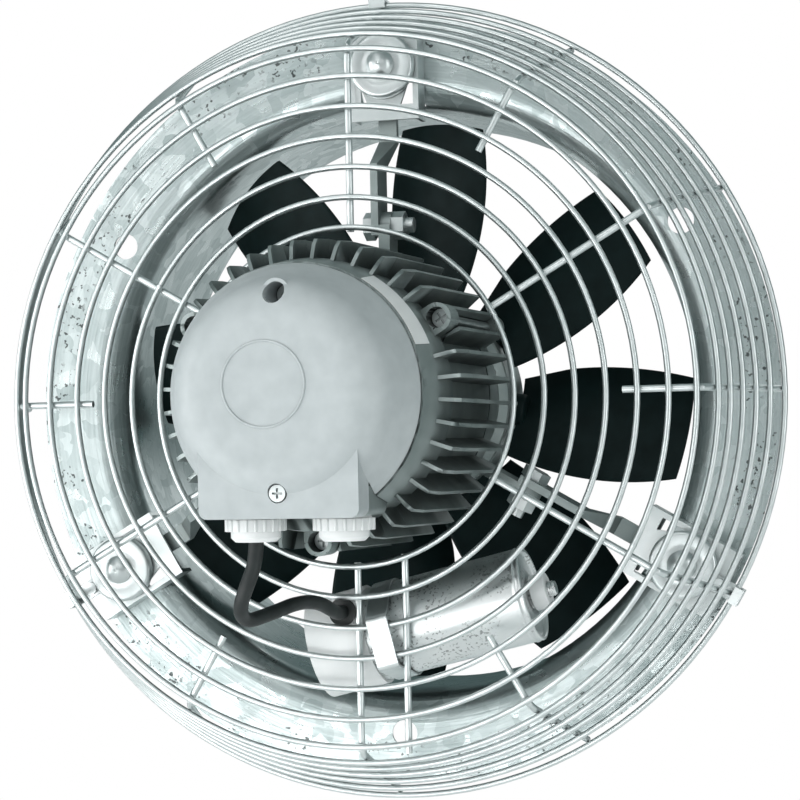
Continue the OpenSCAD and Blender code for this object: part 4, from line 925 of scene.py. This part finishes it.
# %% Guard welds
GUARD_H = 97
WIRE_R = 1.5
INNER_RING_R = 85
RING_PITCH = 15.25
OUTER_FACE_R = 175
SHORT_SPOKE_R = 138
UPRIGHT_SHIFT = 2.5
SPOKE_STEP = 30
EVEN_RINGS = 6
CROSS_WELD = (1.7, 1.9, 0.9)
BUTT_WELD = (1.72, 3.0, 1.72)
FIRST_BUTT = 27
BUTT_STEP = 61
FACE_RINGS = [INNER_RING_R + RING_PITCH * k for k in range(EVEN_RINGS)] + [OUTER_FACE_R]


def pillow(work, place, size):
    """A squashed ball of a given half size, in millimetres."""
    made = bmesh.ops.create_icosphere(work, subdivisions=2, radius=1.0)
    for vert in made["verts"]:
        vert.co = place @ Vector((vert.co.x * size[0], vert.co.y * size[1], vert.co.z * size[2]))


welds = bmesh.new()
weld_count = 0
for k in range(360 // SPOKE_STEP):
    spoke_angle = SPOKE_STEP * k
    upright = spoke_angle in (90, 270)
    sideways = -UPRIGHT_SHIFT * math.sin(math.radians(spoke_angle)) if upright else 0
    starts_at = INNER_RING_R if k % 2 else SHORT_SPOKE_R
    for radius in FACE_RINGS:
        if radius >= starts_at:
            place = spot(spoke_angle, radius, GUARD_H - WIRE_R) @ Matrix.Translation((0, sideways, 0))
            pillow(welds, place, CROSS_WELD)
            weld_count += 1
for k, radius in enumerate(FACE_RINGS):
    pillow(welds, spot(FIRST_BUTT + BUTT_STEP * k, radius, GUARD_H), BUTT_WELD)
show_piece("guard_welds", mesh_from(welds, "guard_welds"), "guard_wire", "root")
print("welds", weld_count, "and", len(FACE_RINGS), "butt joints")

# %% [markdown]
# The terminal cover is one moulding: a low dome that runs smoothly into a steep wall, with a block for
# the cable glands let into its lower side. The engineering cover has a tighter corner. Here the dome is
# turned with a wide round, hollowed, and joined to the block with boolean modifiers, because a block that
# runs into a round form has no simple formula of its own.

# %% Terminal cover
COVER_R = 60.5
COVER_LOW = -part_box("terminal_cover")[1][1] / MM
COVER_FACE_H = -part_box("terminal_cover")[0][1] / MM
COVER_WALL = 2.5
COVER_LIP = 2.5
COVER_ROUND = 20
CONE_TOP_R = 47
BLOCK_STEP = 4
BLOCK_HALF_W = 38
BLOCK_LOW_Y = -57
BLOCK_TOP_Y = -20
BLOCK_CORNER = 4
BLOCK_CUT_Y = -41
BASE_WALL_TOP = 195.2
CUT_PLAY = 0.2
SCREW_DIST = 45.5
POST_WALL = 1.6
POST_LOW_H = COVER_LOW + 0.5
POST_TOP_H = COVER_FACE_H - 7
UPPER_RECESS_R = 5.1
UPPER_SEAT_H = COVER_LOW + 7
LOWER_RECESS_R = 4.5
LOWER_SEAT_H = COVER_FACE_H - 6
COVER_EDGE = 0.5


def dome(inset, low):
    """The cover's round form, drawn in by a wall and closed at a height."""
    work = bmesh.new()
    rim = COVER_R - inset
    top_r = CONE_TOP_R - inset
    face = COVER_FACE_H - inset
    lean = math.degrees(math.atan2(rim - top_r, face - COVER_LOW - COVER_LIP))
    round_r = top_r - COVER_ROUND * math.tan(math.radians((90 - lean) / 2))
    foot_profile = [(0, low), (rim, low), (rim, COVER_LOW + COVER_LIP)]
    shoulder_profile = arc(round_r, face - COVER_ROUND, COVER_ROUND, lean, 90, 12)
    turned(work, foot_profile + shoulder_profile + [(0, face)], DRAWING, 144)
    return work


def block(half_w, low_y, top_y, low_h, top_h):
    """An upright block between two heights, with its two lower corners rounded."""
    work = bmesh.new()
    outline = ([(-half_w, top_y)]
               + arc(BLOCK_CORNER - half_w, low_y + BLOCK_CORNER, BLOCK_CORNER, 180, 270, 5)
               + arc(half_w - BLOCK_CORNER, low_y + BLOCK_CORNER, BLOCK_CORNER, 270, 360, 5)
               + [(half_w, top_y)])
    ends = [[work.verts.new(DRAWING @ Vector((x, y, h))) for x, y in outline] for h in (low_h, top_h)]
    work.faces.new(ends[0])
    work.faces.new(ends[1])
    for k in range(len(outline)):
        after = (k + 1) % len(outline)
        work.faces.new((ends[0][k], ends[0][after], ends[1][after], ends[1][k]))
    return work


def rod(radius, place_y, low_h, top_h):
    """An upright round rod between two heights."""
    work = bmesh.new()
    place = DRAWING @ Matrix.Translation((0, place_y, 0))
    turned(work, [(0, low_h), (radius, low_h), (radius, top_h), (0, top_h)], place)
    return work


def combined(mesh, operation, work):
    """Join or cut a mesh with another closed form; returns the new mesh."""
    piece = bpy.data.objects.new("work piece", mesh)
    tool = bpy.data.objects.new("tool", mesh_from(work, "tool"))
    for made in (piece, tool):
        bpy.context.scene.collection.objects.link(made)
    step = piece.modifiers.new("combine", "BOOLEAN")
    step.operation = operation
    step.solver = "EXACT"
    step.object = tool
    result = bpy.data.meshes.new_from_object(piece.evaluated_get(bpy.context.evaluated_depsgraph_get()))
    for made in (piece, tool):
        bpy.data.objects.remove(made)
    return result


block_top = COVER_FACE_H - BLOCK_STEP
below = COVER_LOW - 1
above = COVER_FACE_H + 1
cover = mesh_from(dome(0, COVER_LOW), "moulded_cover")
gland_block = block(BLOCK_HALF_W, BLOCK_LOW_Y, BLOCK_TOP_Y, COVER_LOW, block_top)
cover = combined(cover, "UNION", gland_block)
cover = combined(cover, "DIFFERENCE", dome(COVER_WALL, below))
block_hollow = block(BLOCK_HALF_W - COVER_WALL, BLOCK_LOW_Y + COVER_WALL, BLOCK_TOP_Y,
                     below, block_top - COVER_WALL)
cover = combined(cover, "DIFFERENCE", block_hollow)
room_for_base = block(BLOCK_HALF_W + CUT_PLAY, -COVER_R - 1, BLOCK_CUT_Y, below, BASE_WALL_TOP)
cover = combined(cover, "DIFFERENCE", room_for_base)
upper_screw = (SCREW_DIST, UPPER_RECESS_R, UPPER_SEAT_H)
lower_screw = (-SCREW_DIST, LOWER_RECESS_R, LOWER_SEAT_H)
for place_y, radius, seat_h in (upper_screw, lower_screw):
    cover = combined(cover, "UNION", rod(radius + POST_WALL, place_y, POST_LOW_H, POST_TOP_H))
    cover = combined(cover, "DIFFERENCE", rod(radius, place_y, seat_h, above))
cover = mesh_from(rounded(cover, COVER_EDGE), "moulded_cover")
show_piece("moulded_cover", cover, slots["terminal_cover"], "root", "terminal_cover")
print("cover", COVER_R * 2, "mm across, face at", round(COVER_FACE_H, 1), "mm")

# %% [markdown]
# The cover of the real fan carries lettering and a round badge. Both are left off. The place of the badge
# is a bare field inside a fine raised ring, so that the moulded face isn't empty there.

# %% Bare round field on the cover
RING_R = 19.6
RING_HALF = 0.6
RING_MIDDLE = (-4.6, 4, 0)
ring_foot = COVER_FACE_H - RING_HALF
ring_profile = ([(RING_R + RING_HALF, ring_foot), (RING_R + RING_HALF, COVER_FACE_H)]
                + arc(RING_R, COVER_FACE_H, RING_HALF, 0, 180, 6)
                + [(RING_R - RING_HALF, ring_foot), (RING_R + RING_HALF, ring_foot)])
field = bmesh.new()
turned(field, ring_profile, DRAWING @ Matrix.Translation(RING_MIDDLE), 72)
show_piece("cover_ring", mesh_from(field, "cover_ring"), "grey_plastic", "root")
print("ring on the cover", 2 * RING_R, "mm across")
